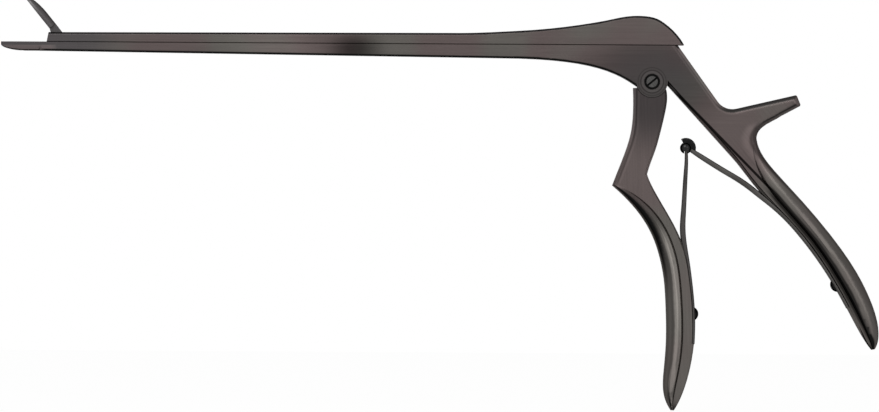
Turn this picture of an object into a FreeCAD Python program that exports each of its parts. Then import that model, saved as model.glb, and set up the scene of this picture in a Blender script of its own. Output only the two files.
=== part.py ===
import FreeCAD, Part
import math
import os

# Disc rongeur: a long sliding-shaft grasping and biting forceps with cupped jaws.
# Frame of the part: X runs along the shaft with the jaws toward -X, Z is up,
# and Y = 0 is the middle plane. The origin is the deepest point of the saddle
# under the thumb spur, where the web of the hand bears.

# Shaft, seam and handle pivot
PIVOT_BEHIND_SADDLE = -31.5     # handle pivot axis, along X from the origin
PIVOT_ABOVE_SADDLE = 16.5       # handle pivot axis, height
SEAM_RISE = 10.95               # seam between fixed bar and slider, above the pivot
JAW_REACH = 178.1               # handle pivot axis to jaw pivot axis
SHAFT_WIDTH = 4.0
BODY_WIDTH = 7.0
BAR_DEPTH_TIP = 2.72            # fixed bar below the seam, at the jaws
BAR_DEPTH_ROOT = 4.15           # and where the body starts
BAR_EDGE_RADIUS = 0.8
SLIDER_DEPTH_TIP = 2.85         # slider above the seam, at the jaws
SLIDER_DEPTH_ROOT = 3.33
SLIDER_EDGE_RADIUS = 0.8
WIDENING_START = 58.0           # ahead of the pivot, where the shaft has its own width
WIDENING_END = 22.0             # ahead of the pivot, where the body has its full width
SLIDE_CLEARANCE = 0.02
SEAM_BREAK = 0.14               # bevel that breaks the long edges beside the seam

# Jaws
JAW_LENGTH = 17.2               # jaw pivot to tip, closed
JAW_SHOULDER = 5.66             # jaw pivot to the shoulder behind the cup, closed
JAW_OPENING = 51.0              # degrees
JAW_PIVOT_DROP = 1.2            # jaw pivot axis below the seam
JAW_LEVER = 2.3                 # drive pin above the jaw pivot
JAW_THICKNESS = 2.3
RIM_GAP = 0.03
CUP_RIM = 0.45
CUP_END_WALL = 1.1
CUP_NOSE_SHARE = 0.7            # share of the cup's length over which it deepens
TANG_THICKNESS = 1.5
TANG_CLEARANCE = 0.06
TANG_LOBE = 1.15
JAW_PIVOT_DIAMETER = 1.2
DRIVE_PIN_DIAMETER = 1.0
PIN_CLEARANCE = 0.04
NOSE_SHARE = 0.45               # share of a jaw's length over which its back rises
SLIDER_LEAD = 3.4               # slider's front end ahead of the jaw pivot, open
SLIDER_RAKE = 0.55              # how far its front face leans back at the top
FORK_REACH = 2.1                # slot for the jaw's tang behind the drive pin
JAW_SLOT_RELIEF = 0.75          # extra room behind the open jaw's tang

# Body, side view: belly, wedge under the cheeks, tail, hollow and thumb spur
BELLY_START = 45.5              # ahead of the pivot, where the straight bar ends
BELLY_RUN = 28.0
BELLY_END_RUN = 7.3
BELLY_END_ANGLE = 34.0
LOBE_START_ANGLE = 198.6
LOBE_END_ANGLE = -12.0
BODY_TAIL = 7.7                 # top rear corner behind the pivot
SLIDER_TAIL = 9.6               # slider's rear tip behind the pivot
HOLLOW_CORNER = (-9.66, 7.76)
HOLLOW_RADIUS = 5.4
SPUR_END_LOW = (13.2, 9.6)
SPUR_END_HIGH = (11.9, 12.8)
SPUR_END_RADIUS = 0.6
PALM_ROUNDING = 1.8
INNER_BEVEL = 1.0               # bevel along the inner edges of the rear handle

# Handle joint
LOBE_RADIUS = 4.7
LOBE_CLEARANCE = 0.15
TONGUE_THICKNESS = 3.0
TONGUE_CLEARANCE = 0.08
EYE_RADIUS = 4.2
LEVER_ENGAGEMENT = 1.65         # lever nose centre above the seam
LEVER_NOSE_RADIUS = 1.4
LEVER_CLEARANCE = 0.03
LEVER_BASE = 2.4                # half width of the lever at the pivot
LEVER_TIP = 0.9                 # and at its nose
TONGUE_ROOT = 6.0               # tongue's reach into the shank, below the pivot
THROAT_BASE = 3.6               # half width of the lever's passage at the pivot
THROAT_TOP = 2.9                # and at the seam
SCREW_HEAD_DIAMETER = 4.6
SCREW_HEAD_DEPTH = 0.55
SCREW_SHOULDER_DIAMETER = 3.2
SCREW_THREAD_DIAMETER = 2.4
SCREW_FIT = 0.03
SCREW_RING = 0.16
SCREW_SINK = 0.08
SCREW_SLOT_WIDTH = 0.6
SCREW_SLOT_DEPTH = 0.4
SCREW_SLOT_ANGLE = 40.0

# Slider guides
GUIDE_LENGTH = 6.0
GUIDE_NECK_WIDTH = 1.0
GUIDE_HEAD_WIDTH = 2.0
GUIDE_NECK_HEIGHT = 0.7
GUIDE_HEAD_HEIGHT = 0.6
GUIDE_CLEARANCE = 0.05
GUIDE_END_GAP = 0.3
FRONT_GUIDE = 12.0              # guide centre behind the jaw pivot
REAR_GUIDE = 112.0

# Handles and springs
SHANK_WIDTH = 6.4
SHANK_BEVEL = 0.7
SHANK_BEVEL_END = 4.0           # how far below its shoulder the shank's bevel stops
SHOULDER_REACH = 5.6            # front handle's shoulder ahead of the pivot
SHOULDER_DROP = 1.9             # and below it
SHOULDER_END_ANGLE = -28.0
LEAF_FOOT_WIDTH = 5.0
LEAF_TIP_WIDTH = 2.6
SEAT_REACH = 6.0                # how far a leaf's seat is cleared away from the grip
BALL_RADIUS = 1.75
BALL_SEAT = 1.0                 # ball centre beyond the end of its leaf
HOOK_CLEARANCE = 0.12
HOOK_THICKNESS = 1.05
HOOK_START_ANGLE = -36.0
HOOK_END_ANGLE = 118.0
SPRING_SCREW_HEAD_DIAMETER = 3.8
SPRING_SCREW_HEAD_HEIGHT = 1.05
SPRING_SCREW_DIAMETER = 2.0
SPRING_SCREW_LENGTH = 4.2
SPRING_SCREW_FIT = 0.05
SPRING_SCREW_LIFT = 0.03

RIM_SHARE = 0.62                # part of a grip's bulb outside its widest place
FLANK_TURN = 0.35               # part of the bulb's inner flank that is its steep foot
FLANK_RISE = 0.72               # part of the flank's rise that the foot takes
QUARTER_BULGE = 0.5523          # pull of a curve that follows a quarter of an ellipse

# Grip sections, from the top down: inner point (x, z), outer point (x, z),
# depth of the bulb, half width of the web, half width of the bulb
FRONT_GRIP = [
    ((-32.8, -11.2), (-43.2, -14.7), 1.2, 3.2, 3.2),
    ((-31.1, -15.2), (-38.0, -19.6), 3.0, 3.1, 3.8),
    ((-27.4, -21.6), (-33.3, -25.6), 4.2, 2.9, 4.3),
    ((-22.9, -30.0), (-29.9, -32.7), 4.9, 2.8, 4.5),
    ((-19.5, -42.5), (-27.5, -43.2), 5.0, 2.6, 4.5),
    ((-18.15, -56.0), (-26.8, -56.2), 5.1, 2.6, 4.5),
    ((-19.3, -68.0), (-27.25, -68.0), 4.8, 2.4, 4.0),
    ((-21.8, -77.0), (-27.5, -76.4), 3.4, 1.8, 2.9),
    ((-24.3, -82.0), (-25.3, -81.95), 0.7, 0.5, 0.8),
]
REAR_GRIP = [
    ((-7.4, -5.9), (0.2, -1.4), 1.6, 3.5, 3.55),
    ((-1.2, -13.6), (5.0, -9.4), 4.4, 3.2, 4.3),
    ((6.6, -22.2), (12.2, -17.2), 5.5, 2.8, 4.5),
    ((14.7, -31.1), (20.4, -26.6), 5.5, 2.6, 4.5),
    ((21.4, -40.6), (27.9, -36.5), 5.9, 2.6, 4.5),
    ((27.6, -51.4), (34.2, -47.9), 5.6, 2.4, 4.1),
    ((32.1, -59.6), (37.0, -58.4), 3.6, 1.7, 2.9),
    ((34.8, -63.5), (35.9, -63.3), 0.6, 0.5, 0.7),
]

# Leaf springs, from the foot up: inner face (x, z) and thickness there
FRONT_LEAF_FOOT = [
    ((-19.15, -62.0), 0.9),
    ((-19.0, -55.5), 0.9),
    ((-19.35, -49.0), 0.9),
    ((-20.05, -43.0), 0.95),
    ((-20.95, -37.0), 1.0),
    ((-22.0, -31.8), 1.25),
]
FRONT_LEAF_FREE = [
    ((-22.5, -28.0), 1.45),
    ((-22.5, -22.0), 1.45),
    ((-22.25, -16.0), 1.3),
    ((-22.0, -10.5), 1.3),
    ((-21.66, -7.4), 1.2),
    ((-21.685, -4.3), 1.05),
]
REAR_LEAF_FOOT = [
    ((28.1, -50.7), 0.9),
    ((25.4, -45.85), 0.9),
    ((20.6, -38.05), 0.95),
    ((15.35, -30.8), 1.05),
    ((9.0, -23.5), 1.15),
    ((5.0, -19.75), 1.3),
    ((1.4, -16.7), 1.5),
]
REAR_LEAF_FREE = [
    ((-1.8, -14.1), 1.6),
    ((-5.2, -11.8), 1.6),
    ((-9.4, -9.35), 1.58),
    ((-13.3, -7.0), 1.55),
    ((-17.6, -4.4), 1.5),
    ((-20.0, -3.0), 1.45),
]
FRONT_SCREW_SPAN = 9.0          # screw centre above the foot's end, along the leaf
REAR_SCREW_SPAN = 7.6


# Side view curves: slider's hump (behind the pivot, above the seam), saddle under the
# spur, and the front handle's shank on its outer and inner side
HUMP_START = 60.0               # ahead of the pivot, where the slider's top starts to rise
HUMP = [
    (-51.5, 3.47), (-42.0, 3.95), (-37.0, 4.25), (-27.5, 5.15), (-17.9, 6.55), (-13.1, 7.45), (-8.3, 8.45),
    (-3.5, 8.75), (-1.1, 8.55), (1.3, 7.95), (3.7, 6.55), (6.1, 4.55), (8.6, 1.65),
]
SADDLE_CURVE = [(0.0, 0.3), (0.45, 1.6), (1.4, 2.8), (3.0, 4.0), (7.2, 6.4)]
SHANK_OUTER = [(-39.8, -5.9), (-37.6, 1.5), (-37.0, 8.0)]
SHANK_INNER = [(-26.95, 11.0), (-27.5, 7.3), (-28.3, 3.7), (-29.2, 0.1), (-30.2, -3.5),
               (-31.5, -7.1)]

Y_AXIS = FreeCAD.Vector(0, 1, 0)
Z_AXIS = FreeCAD.Vector(0, 0, 1)
PIVOT_X = PIVOT_BEHIND_SADDLE
PIVOT_Z = PIVOT_ABOVE_SADDLE
SEAM_Z = PIVOT_Z + SEAM_RISE
JAW_X = PIVOT_X - JAW_REACH
JAW_Z = SEAM_Z - JAW_PIVOT_DROP
DRIVE_TRAVEL = 2 * JAW_LEVER * math.tan(math.radians(JAW_OPENING / 2))
DRIVE_X = JAW_X + DRIVE_TRAVEL / 2
DRIVE_Z = JAW_Z + JAW_LEVER
LEVER_LENGTH = SEAM_RISE + LEVER_ENGAGEMENT
HANDLE_SWING = 2 * math.degrees(math.asin(DRIVE_TRAVEL / 2 / LEVER_LENGTH))


def at(x, z, y=0.0):
    """A point given by its place along the shaft and its height."""
    return FreeCAD.Vector(x, y, z)


def spline(points):
    """A smooth curve through the points."""
    curve = Part.BSplineCurve()
    curve.interpolate(points)
    return curve.toShape()


def bent(*points):
    """A curve that is drawn toward its middle points and ends on the outer two."""
    curve = Part.BezierCurve()
    curve.setPoles(list(points))
    return curve.toBSpline().toShape()


def segment(start, end):
    """A straight edge."""
    return Part.LineSegment(start, end).toShape()


def sideways(edges, half_width):
    """A closed run of edges in the middle plane, carried the same way to both sides."""
    face = Part.Face(Part.Wire(edges))
    face.translate(FreeCAD.Vector(0, -half_width, 0))
    return face.extrude(FreeCAD.Vector(0, 2 * half_width, 0))


class Outline:
    """A closed outline in the middle plane, drawn from point to point."""

    def __init__(self, x, z):
        self.start = at(x, z)
        self.here = self.start
        self.edges = []

    def add(self, edge, end):
        self.edges.append(edge)
        self.here = end
        return self

    def line(self, *points):
        for x, z in points:
            self.add(segment(self.here, at(x, z)), at(x, z))
        return self

    def arc(self, middle, end):
        edge = Part.Arc(self.here, at(*middle), at(*end)).toShape()
        return self.add(edge, at(*end))

    def curve(self, *points):
        through = [self.here] + [at(x, z) for x, z in points]
        return self.add(spline(through), through[-1])

    def bezier(self, *points):
        places = [at(x, z) for x, z in points]
        return self.add(bent(self.here, *places), places[-1])

    def quarter(self, x, z):
        """A quarter of an ellipse that leaves straight up or down."""
        here = self.here
        return self.bezier((here.x, here.z + QUARTER_BULGE * (z - here.z)),
                           (x + QUARTER_BULGE * (here.x - x), z), (x, z))

    def close(self):
        if (self.here - self.start).Length > 1e-6:
            self.line((self.start.x, self.start.z))
        return self.edges

    def prism(self, half_width):
        return sideways(self.close(), half_width)

    def spindle(self, axis_z):
        """The outline turned about a line along X."""
        face = Part.Face(Part.Wire(self.close()))
        return face.revolve(at(0, axis_z), FreeCAD.Vector(1, 0, 0), 360)


def block(x0, x1, half_width, z0, z1):
    """A box between two stations, as wide to each side of the middle plane."""
    corner = FreeCAD.Vector(x0, -half_width, z0)
    return Part.makeBox(x1 - x0, 2 * half_width, z1 - z0, corner)


def cross_pin(radius, place, y0, y1):
    """A cylinder across the part from one side to the other."""
    foot = FreeCAD.Vector(place[0], y0, place[1])
    return Part.makeCylinder(radius, y1 - y0, foot, Y_AXIS)


def polar(radius, angle, centre=None):
    """The place at an angle on a circle, from +X towards +Z; about the handle pivot."""
    x, z = centre or (PIVOT_X, PIVOT_Z)
    turn = math.radians(angle)
    return x + radius * math.cos(turn), z + radius * math.sin(turn)


def crosses_at(edge, place):
    """Whether an edge crosses the part at that place of the side view."""
    ends = [v.Point for v in edge.Vertexes]
    return ((ends[0] + ends[-1]) * 0.5 - at(*place)).Length < 0.05


def round_crossing(shape, radius, *places):
    """Rounds the corners of the side view that lie at the places."""
    edges = [e for e in shape.Edges if any(crosses_at(e, place) for place in places)]
    return shape.makeFillet(radius, edges)


def long_edges(shape, choose):
    """Edges that run along the two sides and whose middle point passes the test."""
    chosen = []
    for edge in shape.Edges:
        first, last = edge.ParameterRange
        middle = edge.valueAt((first + last) / 2)
        ends = [v.Point.y for v in edge.Vertexes]
        if abs(middle.y) > 0.5 and ends[0] * ends[-1] > 0.25 and choose(middle):
            chosen.append(edge)
    return chosen


def shaft_plan(x0, x1, z0, z1):
    """Plan of the shaft: its own width forward, the body's width at the pivot."""
    shaft = SHAFT_WIDTH / 2
    body = BODY_WIDTH / 2
    start = PIVOT_X - WIDENING_START
    end = PIVOT_X - WIDENING_END
    third = (end - start) / 3
    corners = [FreeCAD.Vector(start, shaft, z0), FreeCAD.Vector(start + third, shaft, z0),
               FreeCAD.Vector(end - third, body, z0), FreeCAD.Vector(end, body, z0)]
    flare = Part.BezierCurve()
    flare.setPoles(corners)
    right = flare.toBSpline().toShape()
    mirrored = Part.BezierCurve()
    mirrored.setPoles([FreeCAD.Vector(c.x, -c.y, c.z) for c in reversed(corners)])
    left = mirrored.toBSpline().toShape()
    spots = [FreeCAD.Vector(x, y, z0) for x, y in [
        (end, body), (x1, body), (x1, -body), (end, -body)]]
    front = [FreeCAD.Vector(x, y, z0) for x, y in [
        (start, -shaft), (x0, -shaft), (x0, shaft), (start, shaft)]]
    edges = [right] + [segment(a, b) for a, b in zip(spots, spots[1:])] + [left]
    edges += [segment(a, b) for a, b in zip(front, front[1:])]
    return Part.Face(Part.Wire(edges)).extrude(FreeCAD.Vector(0, 0, z1 - z0))


def jaw_back(rim, depth, end, up):
    """A jaw's outer form, pointed in plan: straight walls at the rim, then half round."""
    tip = JAW_X - JAW_LENGTH
    radius = SHAFT_WIDTH / 2
    nose = tip + NOSE_SHARE * JAW_LENGTH
    axis = rim + up * (depth - radius)
    outline = Outline(tip, axis)
    outline.quarter(nose, axis - up * radius)
    outline.line((end, axis - up * radius), (end, axis))
    round_part = outline.spindle(axis)
    plan = Outline(tip, 0)
    plan.quarter(nose, radius).line((end, radius), (end, -radius), (nose, -radius))
    plan.bezier((nose - QUARTER_BULGE * (nose - tip), -radius),
                (tip, -QUARTER_BULGE * radius), (tip, 0))
    floor = Part.Face(Part.Wire(plan.close()))
    floor.rotate(FreeCAD.Vector(), FreeCAD.Vector(1, 0, 0), -90)
    floor.translate(at(0, rim))
    walls = floor.extrude(at(0, axis - rim))
    low, high = sorted([axis, axis + up * JAW_LENGTH])
    return walls.fuse(round_part.common(block(tip - 1, end, SHAFT_WIDTH, low, high)))


def jaw_hollow(rim, up):
    """A jaw's cup, half of it above the rim and half below."""
    start = JAW_X - JAW_LENGTH + CUP_RIM
    end = JAW_X - JAW_SHOULDER - CUP_END_WALL
    depth = SHAFT_WIDTH / 2 - CUP_RIM
    outline = Outline(start, rim)
    outline.quarter(start + CUP_NOSE_SHARE * (end - start), rim - up * depth)
    outline.line((end - depth, rim - up * depth))
    outline.arc(polar(depth, -45 * up, (end - depth, rim)), (end, rim))
    return outline.spindle(rim)


def grip_section(inner, outer, bulb, web_half, bulb_half, bevel):
    """One section of a grip: a flat, bevelled web that carries a rounded, wider bulb."""
    inner = at(*inner)
    across = at(*outer) - inner
    depth = across.Length
    across.normalize()

    def spot(reach, y):
        point = inner + across * reach
        return FreeCAD.Vector(point.x, y, point.z)

    def crown(side):
        """From the bulb's widest place round to its top."""
        reach = RIM_SHARE * bulb * (1 - QUARTER_BULGE)
        return [spot(depth - RIM_SHARE * bulb, side * bulb_half),
                spot(depth - reach, side * bulb_half),
                spot(depth, side * bulb_half * QUARTER_BULGE), spot(depth, 0)]

    flank = bulb * (1 - RIM_SHARE)
    rise = FLANK_RISE * (bulb_half - web_half)
    half = [(depth - bulb + FLANK_TURN * flank, web_half + rise), (depth - bulb, web_half),
            (bevel, web_half), (0, web_half - bevel)]
    corners = [spot(reach, -y) for reach, y in half] + [spot(reach, y) for reach, y in half[::-1]]
    straight = [crown(-1)[0]] + corners + [crown(1)[0]]
    edges = [segment(*ends) for ends in zip(straight, straight[1:])]
    return Part.Wire(edges + [bent(*crown(1)), bent(*reversed(crown(-1)))])


def grip(stations, bevel):
    """A handle's grip, lofted through its sections; its bevel narrows with its depth."""
    full = math.dist(*stations[0][:2])
    sections = [grip_section(*s, bevel * min(1.0, math.dist(*s[:2]) / full)) for s in stations]
    return Part.makeLoft(sections, True, False)


def leaf_points(stations, side):
    """Both faces of a leaf: the inner points, and those one thickness off them."""
    inner = [at(*place) for place, _ in stations]
    outer = []
    for i, (_, thickness) in enumerate(stations):
        run = inner[min(i + 1, len(inner) - 1)] - inner[max(i - 1, 0)]
        run.normalize()
        outer.append(inner[i] + FreeCAD.Vector(run.z, 0, -run.x) * (thickness * side))
    return inner, outer


def leaf_seat(foot, side):
    """What a leaf's foot takes away from the grip that carries it."""
    inner, outer = leaf_points(foot, side)
    away = [p + (q - p) * (SEAT_REACH / (q - p).Length) for p, q in zip(inner, outer)]
    edges = [spline(inner), segment(inner[-1], away[-1]), spline(list(reversed(away))),
             segment(away[0], inner[0])]
    return sideways(edges, BODY_WIDTH)


def taper_cutters(start, end, normal):
    """What is taken off both sides of a leaf so that it narrows to its free end."""
    wide = BODY_WIDTH
    cutters = []
    for sign in (1, -1):
        corners = [start + Y_AXIS * (sign * LEAF_FOOT_WIDTH / 2),
                   end + Y_AXIS * (sign * LEAF_TIP_WIDTH / 2),
                   end + Y_AXIS * (sign * wide), start + Y_AXIS * (sign * wide)]
        corners = [c - normal * wide for c in corners]
        face = Part.Face(Part.makePolygon(corners + corners[:1]))
        cutters.append(face.extrude(normal * (2 * wide)))
    return cutters


def leaf_strip(foot, free, side):
    """A leaf spring: flat on the grip at its foot, narrowing to its free end."""
    foot_in, _ = leaf_points(foot, side)
    inner, outer = leaf_points(foot + free, side)
    free_in = [foot_in[-1]] + inner[len(foot):]
    edges = [spline(foot_in), spline(free_in), segment(inner[-1], outer[-1]),
             spline(list(reversed(outer))), segment(outer[0], inner[0])]
    strip = sideways(edges, LEAF_FOOT_WIDTH / 2)
    run = inner[-1] - foot_in[-1]
    end = inner[-1] + run * 0.2
    run.normalize()
    normal = FreeCAD.Vector(run.z, 0, -run.x)
    return strip.cut(taper_cutters(foot_in[-1], end, normal))


def screw_place(foot, span, side):
    """Where a leaf's screw enters the grip, the way out of it and the leaf there."""
    inner, _ = leaf_points(foot, side)
    curve = Part.BSplineCurve()
    curve.interpolate(inner)
    reach = curve.parameterAtDistance(span, curve.FirstParameter)
    run = curve.tangent(reach)[0]
    return curve.value(reach), FreeCAD.Vector(run.z, 0, -run.x) * side


def screw_hole(foot, span, side, play):
    """The hole of a leaf's screw, through the leaf and into the grip."""
    place, out = screw_place(foot, span, side)
    depth = SPRING_SCREW_LENGTH + SPRING_SCREW_FIT
    base = place - out * depth
    return Part.makeCylinder(SPRING_SCREW_DIAMETER / 2 + play, depth + SEAT_REACH / 2, base, out)


def screw_slot(top, out, diameter, depth):
    """A straight slot across a screw head, for the driver."""
    length = diameter + 1.0
    corner = FreeCAD.Vector(-length / 2, -SCREW_SLOT_WIDTH / 2, -depth)
    cutter = Part.makeBox(length, SCREW_SLOT_WIDTH, depth + 1.0, corner)
    cutter.rotate(FreeCAD.Vector(), Z_AXIS, SCREW_SLOT_ANGLE)
    cutter.Placement = FreeCAD.Placement(top, FreeCAD.Rotation(Z_AXIS, out)).multiply(
        cutter.Placement)
    return cutter


def frame_outline():
    """Side view of the fixed bar, the body and the rear handle down to its grip."""
    start = JAW_X - JAW_SHOULDER
    root = (PIVOT_X - BELLY_START, SEAM_Z - BAR_DEPTH_ROOT)
    lobe_start = polar(LOBE_RADIUS, LOBE_START_ANGLE)
    inner, outer = REAR_GRIP[0][:2]
    outline = Outline(start, SEAM_Z)
    outline.line((start, SEAM_Z - BAR_DEPTH_TIP), root)
    outline.bezier((root[0] + BELLY_RUN, root[1]),
                   polar(BELLY_END_RUN, 180 - BELLY_END_ANGLE, lobe_start), lobe_start)
    outline.arc(polar(LOBE_RADIUS, 270), polar(LOBE_RADIUS, LOBE_END_ANGLE))
    outline.line(inner, outer)
    outline.curve(*SADDLE_CURVE)
    outline.line(SPUR_END_LOW, SPUR_END_HIGH, HOLLOW_CORNER)
    outline.line((PIVOT_X + BODY_TAIL, SEAM_Z))
    return outline


def frame_blank():
    """Fixed bar, body, shank and spur before anything is cut into them."""
    lowest = REAR_GRIP[0][0][1] - 1.0
    side = frame_outline().prism(BODY_WIDTH / 2 + 1.0)
    plan = shaft_plan(JAW_X - JAW_SHOULDER - 1.0, SPUR_END_LOW[0] + 1.0, lowest, SEAM_Z + 1.0)
    blank = side.common(plan)
    blank = round_crossing(blank, HOLLOW_RADIUS, HOLLOW_CORNER)
    blank = round_crossing(blank, SPUR_END_RADIUS, SPUR_END_LOW, SPUR_END_HIGH)
    palm = long_edges(blank, lambda m: m.x > HOLLOW_CORNER[0] - 2.5 and m.z > -1.0)
    blank = blank.makeFillet(PALM_ROUNDING, palm)
    keel = long_edges(blank, lambda m: m.z < SEAM_Z - 0.5 and m.x < PIVOT_X - LOBE_RADIUS)
    blank = blank.makeFillet(BAR_EDGE_RADIUS, keel)
    lobe_end = polar(LOBE_RADIUS, LOBE_END_ANGLE)
    middle = [(a + b) / 2 for a, b in zip(lobe_end, REAR_GRIP[0][0])]
    inner = long_edges(blank, lambda m: math.dist((m.x, m.z), middle) < 1.0)
    blank = blank.makeChamfer(INNER_BEVEL, inner)
    seam = long_edges(blank, lambda m: abs(m.z - SEAM_Z) < SLIDE_CLEARANCE)
    return blank.makeChamfer(SEAM_BREAK, seam)


def jaw_slot():
    """Slot in the fixed bar for the upper jaw's tang, with a floor under it."""
    front = JAW_X - JAW_SHOULDER - 0.3
    reach = TANG_LOBE + 2 * TANG_CLEARANCE
    rear = JAW_X + reach + JAW_SLOT_RELIEF
    outline = Outline(front, SEAM_Z + 1.0)
    outline.line((front, SEAM_Z), (JAW_X - reach, JAW_Z - reach), (rear, JAW_Z - reach),
                 (rear, SEAM_Z + 1.0))
    return outline.prism(TANG_THICKNESS / 2 + TANG_CLEARANCE)


def guide(centre, play, ahead, behind):
    """T-shaped guide under the slider; with play and room at its ends, its groove."""
    x0 = centre - GUIDE_LENGTH / 2 - ahead
    x1 = centre + GUIDE_LENGTH / 2 + behind
    neck_end = SEAM_Z - GUIDE_NECK_HEIGHT
    neck = block(x0, x1, GUIDE_NECK_WIDTH / 2 + play, neck_end, SEAM_Z + 0.5)
    head = block(x0, x1, GUIDE_HEAD_WIDTH / 2 + play,
                 neck_end - GUIDE_HEAD_HEIGHT - play, neck_end + play)
    return neck.fuse(head)


def guide_groove(centre):
    """Groove for one guide, with the window behind it where the guide drops in."""
    groove = guide(centre, GUIDE_CLEARANCE, DRIVE_TRAVEL + GUIDE_END_GAP, GUIDE_END_GAP)
    start = centre + GUIDE_LENGTH / 2 + GUIDE_END_GAP
    depth = GUIDE_NECK_HEIGHT + GUIDE_HEAD_HEIGHT + GUIDE_CLEARANCE
    window = block(start, start + GUIDE_LENGTH + 2 * GUIDE_END_GAP,
                   GUIDE_HEAD_WIDTH / 2 + GUIDE_CLEARANCE, SEAM_Z - depth, SEAM_Z + 0.5)
    return groove.fuse(window)


def tongue_slot():
    """Slot between the cheeks, open below for the handle and above for its lever."""
    half = TONGUE_THICKNESS / 2 + TONGUE_CLEARANCE
    side = LOBE_RADIUS + 0.2
    mouth = block(PIVOT_X - side, PIVOT_X + side, half, PIVOT_Z - 2 * LOBE_RADIUS, PIVOT_Z + 1)
    throat = Outline(PIVOT_X - THROAT_BASE, PIVOT_Z)
    throat.line((PIVOT_X - THROAT_TOP, SEAM_Z + 0.5), (PIVOT_X + THROAT_TOP, SEAM_Z + 0.5),
                (PIVOT_X + THROAT_BASE, PIVOT_Z))
    eye = cross_pin(EYE_RADIUS + 2 * LOBE_CLEARANCE, (PIVOT_X, PIVOT_Z), -half, half)
    return eye.fuse([mouth, throat.prism(half)])


def pivot_screw_hole():
    """The pivot screw's seat in the near cheek, its bore and the thread behind."""
    pivot = (PIVOT_X, PIVOT_Z)
    face = -BODY_WIDTH / 2
    half = TONGUE_THICKNESS / 2 + TONGUE_CLEARANCE
    floor = face + SCREW_SINK + SCREW_HEAD_DEPTH
    ring = cross_pin(SCREW_HEAD_DIAMETER / 2 + SCREW_RING, pivot, face - 0.5, floor)
    bore = cross_pin(SCREW_SHOULDER_DIAMETER / 2 + SCREW_FIT, pivot, floor, half)
    thread = cross_pin(SCREW_THREAD_DIAMETER / 2, pivot, half, -face + 0.5)
    return ring.fuse([bore, thread])


def frame():
    """One forging: fixed bar with the lower jaw, body with cheeks, rear handle, spur."""
    start = JAW_X - JAW_SHOULDER
    jaw = jaw_back(SEAM_Z, BAR_DEPTH_TIP, start + 0.8, -1)
    solid = frame_blank().fuse([jaw, grip(REAR_GRIP, INNER_BEVEL)])
    solid = solid.cut([jaw_hollow(SEAM_Z, -1), jaw_slot(), tongue_slot(), pivot_screw_hole(),
                       guide_groove(JAW_X + FRONT_GUIDE), guide_groove(JAW_X + REAR_GUIDE),
                       cross_pin(JAW_PIVOT_DIAMETER / 2, (JAW_X, JAW_Z), -BODY_WIDTH, BODY_WIDTH),
                       leaf_seat(REAR_LEAF_FOOT, -1),
                       screw_hole(REAR_LEAF_FOOT, REAR_SCREW_SPAN, -1, 0.0)])
    return solid.removeSplitter()


def slider_blank():
    """The sliding shaft with its raised, rounded rear end."""
    low = SEAM_Z + SLIDE_CLEARANCE
    front = JAW_X - SLIDER_LEAD
    outline = Outline(front, low)
    outline.line((front + SLIDER_RAKE, SEAM_Z + SLIDER_DEPTH_TIP),
                 (PIVOT_X - HUMP_START, SEAM_Z + SLIDER_DEPTH_ROOT))
    outline.curve(*[(PIVOT_X + x, SEAM_Z + z) for x, z in HUMP])
    outline.line((PIVOT_X + SLIDER_TAIL, low))
    side = outline.prism(BODY_WIDTH / 2 + 1.0)
    above = SEAM_Z + 2 * max(z for _, z in HUMP)
    plan = shaft_plan(front - 1.0, PIVOT_X + SLIDER_TAIL + 1.0, SEAM_Z - 1.0, above)
    blank = side.common(plan)
    top = long_edges(blank, lambda m: m.z > SEAM_Z + 2.0 and m.x > front + 1.5)
    blank = blank.makeFillet(SLIDER_EDGE_RADIUS, top)
    seam = long_edges(blank, lambda m: abs(m.z - low) < SLIDE_CLEARANCE)
    return blank.makeChamfer(SEAM_BREAK, seam)


def slider():
    """Sliding shaft: fork and drive pin hole in front, guides, lever notch behind."""
    half = TANG_THICKNESS / 2 + TANG_CLEARANCE
    fork = block(JAW_X - SLIDER_LEAD - 1.0, DRIVE_X + FORK_REACH, half, SEAM_Z - 1.0,
                 SEAM_Z + 2 * SLIDER_DEPTH_TIP)
    nose = polar(LEVER_LENGTH, 90 - HANDLE_SWING / 2)
    room = LEVER_NOSE_RADIUS + LEVER_CLEARANCE
    notch = block(nose[0] - room, nose[0] + room, TONGUE_THICKNESS / 2 + TONGUE_CLEARANCE,
                  SEAM_Z - 1.0, nose[1] + room + LOBE_CLEARANCE)
    pin = cross_pin(DRIVE_PIN_DIAMETER / 2, (DRIVE_X, DRIVE_Z), -BODY_WIDTH, BODY_WIDTH)
    solid = slider_blank().cut([fork, notch, pin])
    guides = [guide(JAW_X + FRONT_GUIDE, 0, 0, 0), guide(JAW_X + REAR_GUIDE, 0, 0, 0)]
    return solid.fuse(guides).removeSplitter()


def drive_slot(near_end, far_end, angle):
    """Slot in the tang that the drive pin runs in."""
    radius = DRIVE_PIN_DIAMETER / 2 + PIN_CLEARANCE
    outline = Outline(*polar(radius, angle - 90, near_end))
    outline.arc(polar(radius, angle + 180, near_end), polar(radius, angle + 90, near_end))
    outline.line(polar(radius, angle + 90, far_end))
    outline.arc(polar(radius, angle, far_end), polar(radius, angle - 90, far_end))
    return outline.prism(TANG_THICKNESS)


def tang(rim, far_end, pivot):
    """Flat tang behind the cup, round about the pivot and about the drive slot."""
    shoulder = JAW_X - JAW_SHOULDER
    half = TANG_THICKNESS / 2
    outline = Outline(shoulder - 0.4, rim + 0.2)
    outline.line((shoulder, rim), polar(TANG_LOBE, 250, pivot), polar(TANG_LOBE, 25, pivot),
                 polar(TANG_LOBE, 25, far_end), polar(TANG_LOBE, 90, far_end),
                 (shoulder, rim + JAW_THICKNESS), (shoulder - 0.4, rim + JAW_THICKNESS - 0.2))
    lobes = [cross_pin(TANG_LOBE, place, -half, half) for place in (pivot, far_end)]
    return outline.prism(half).fuse(lobes)


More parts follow.
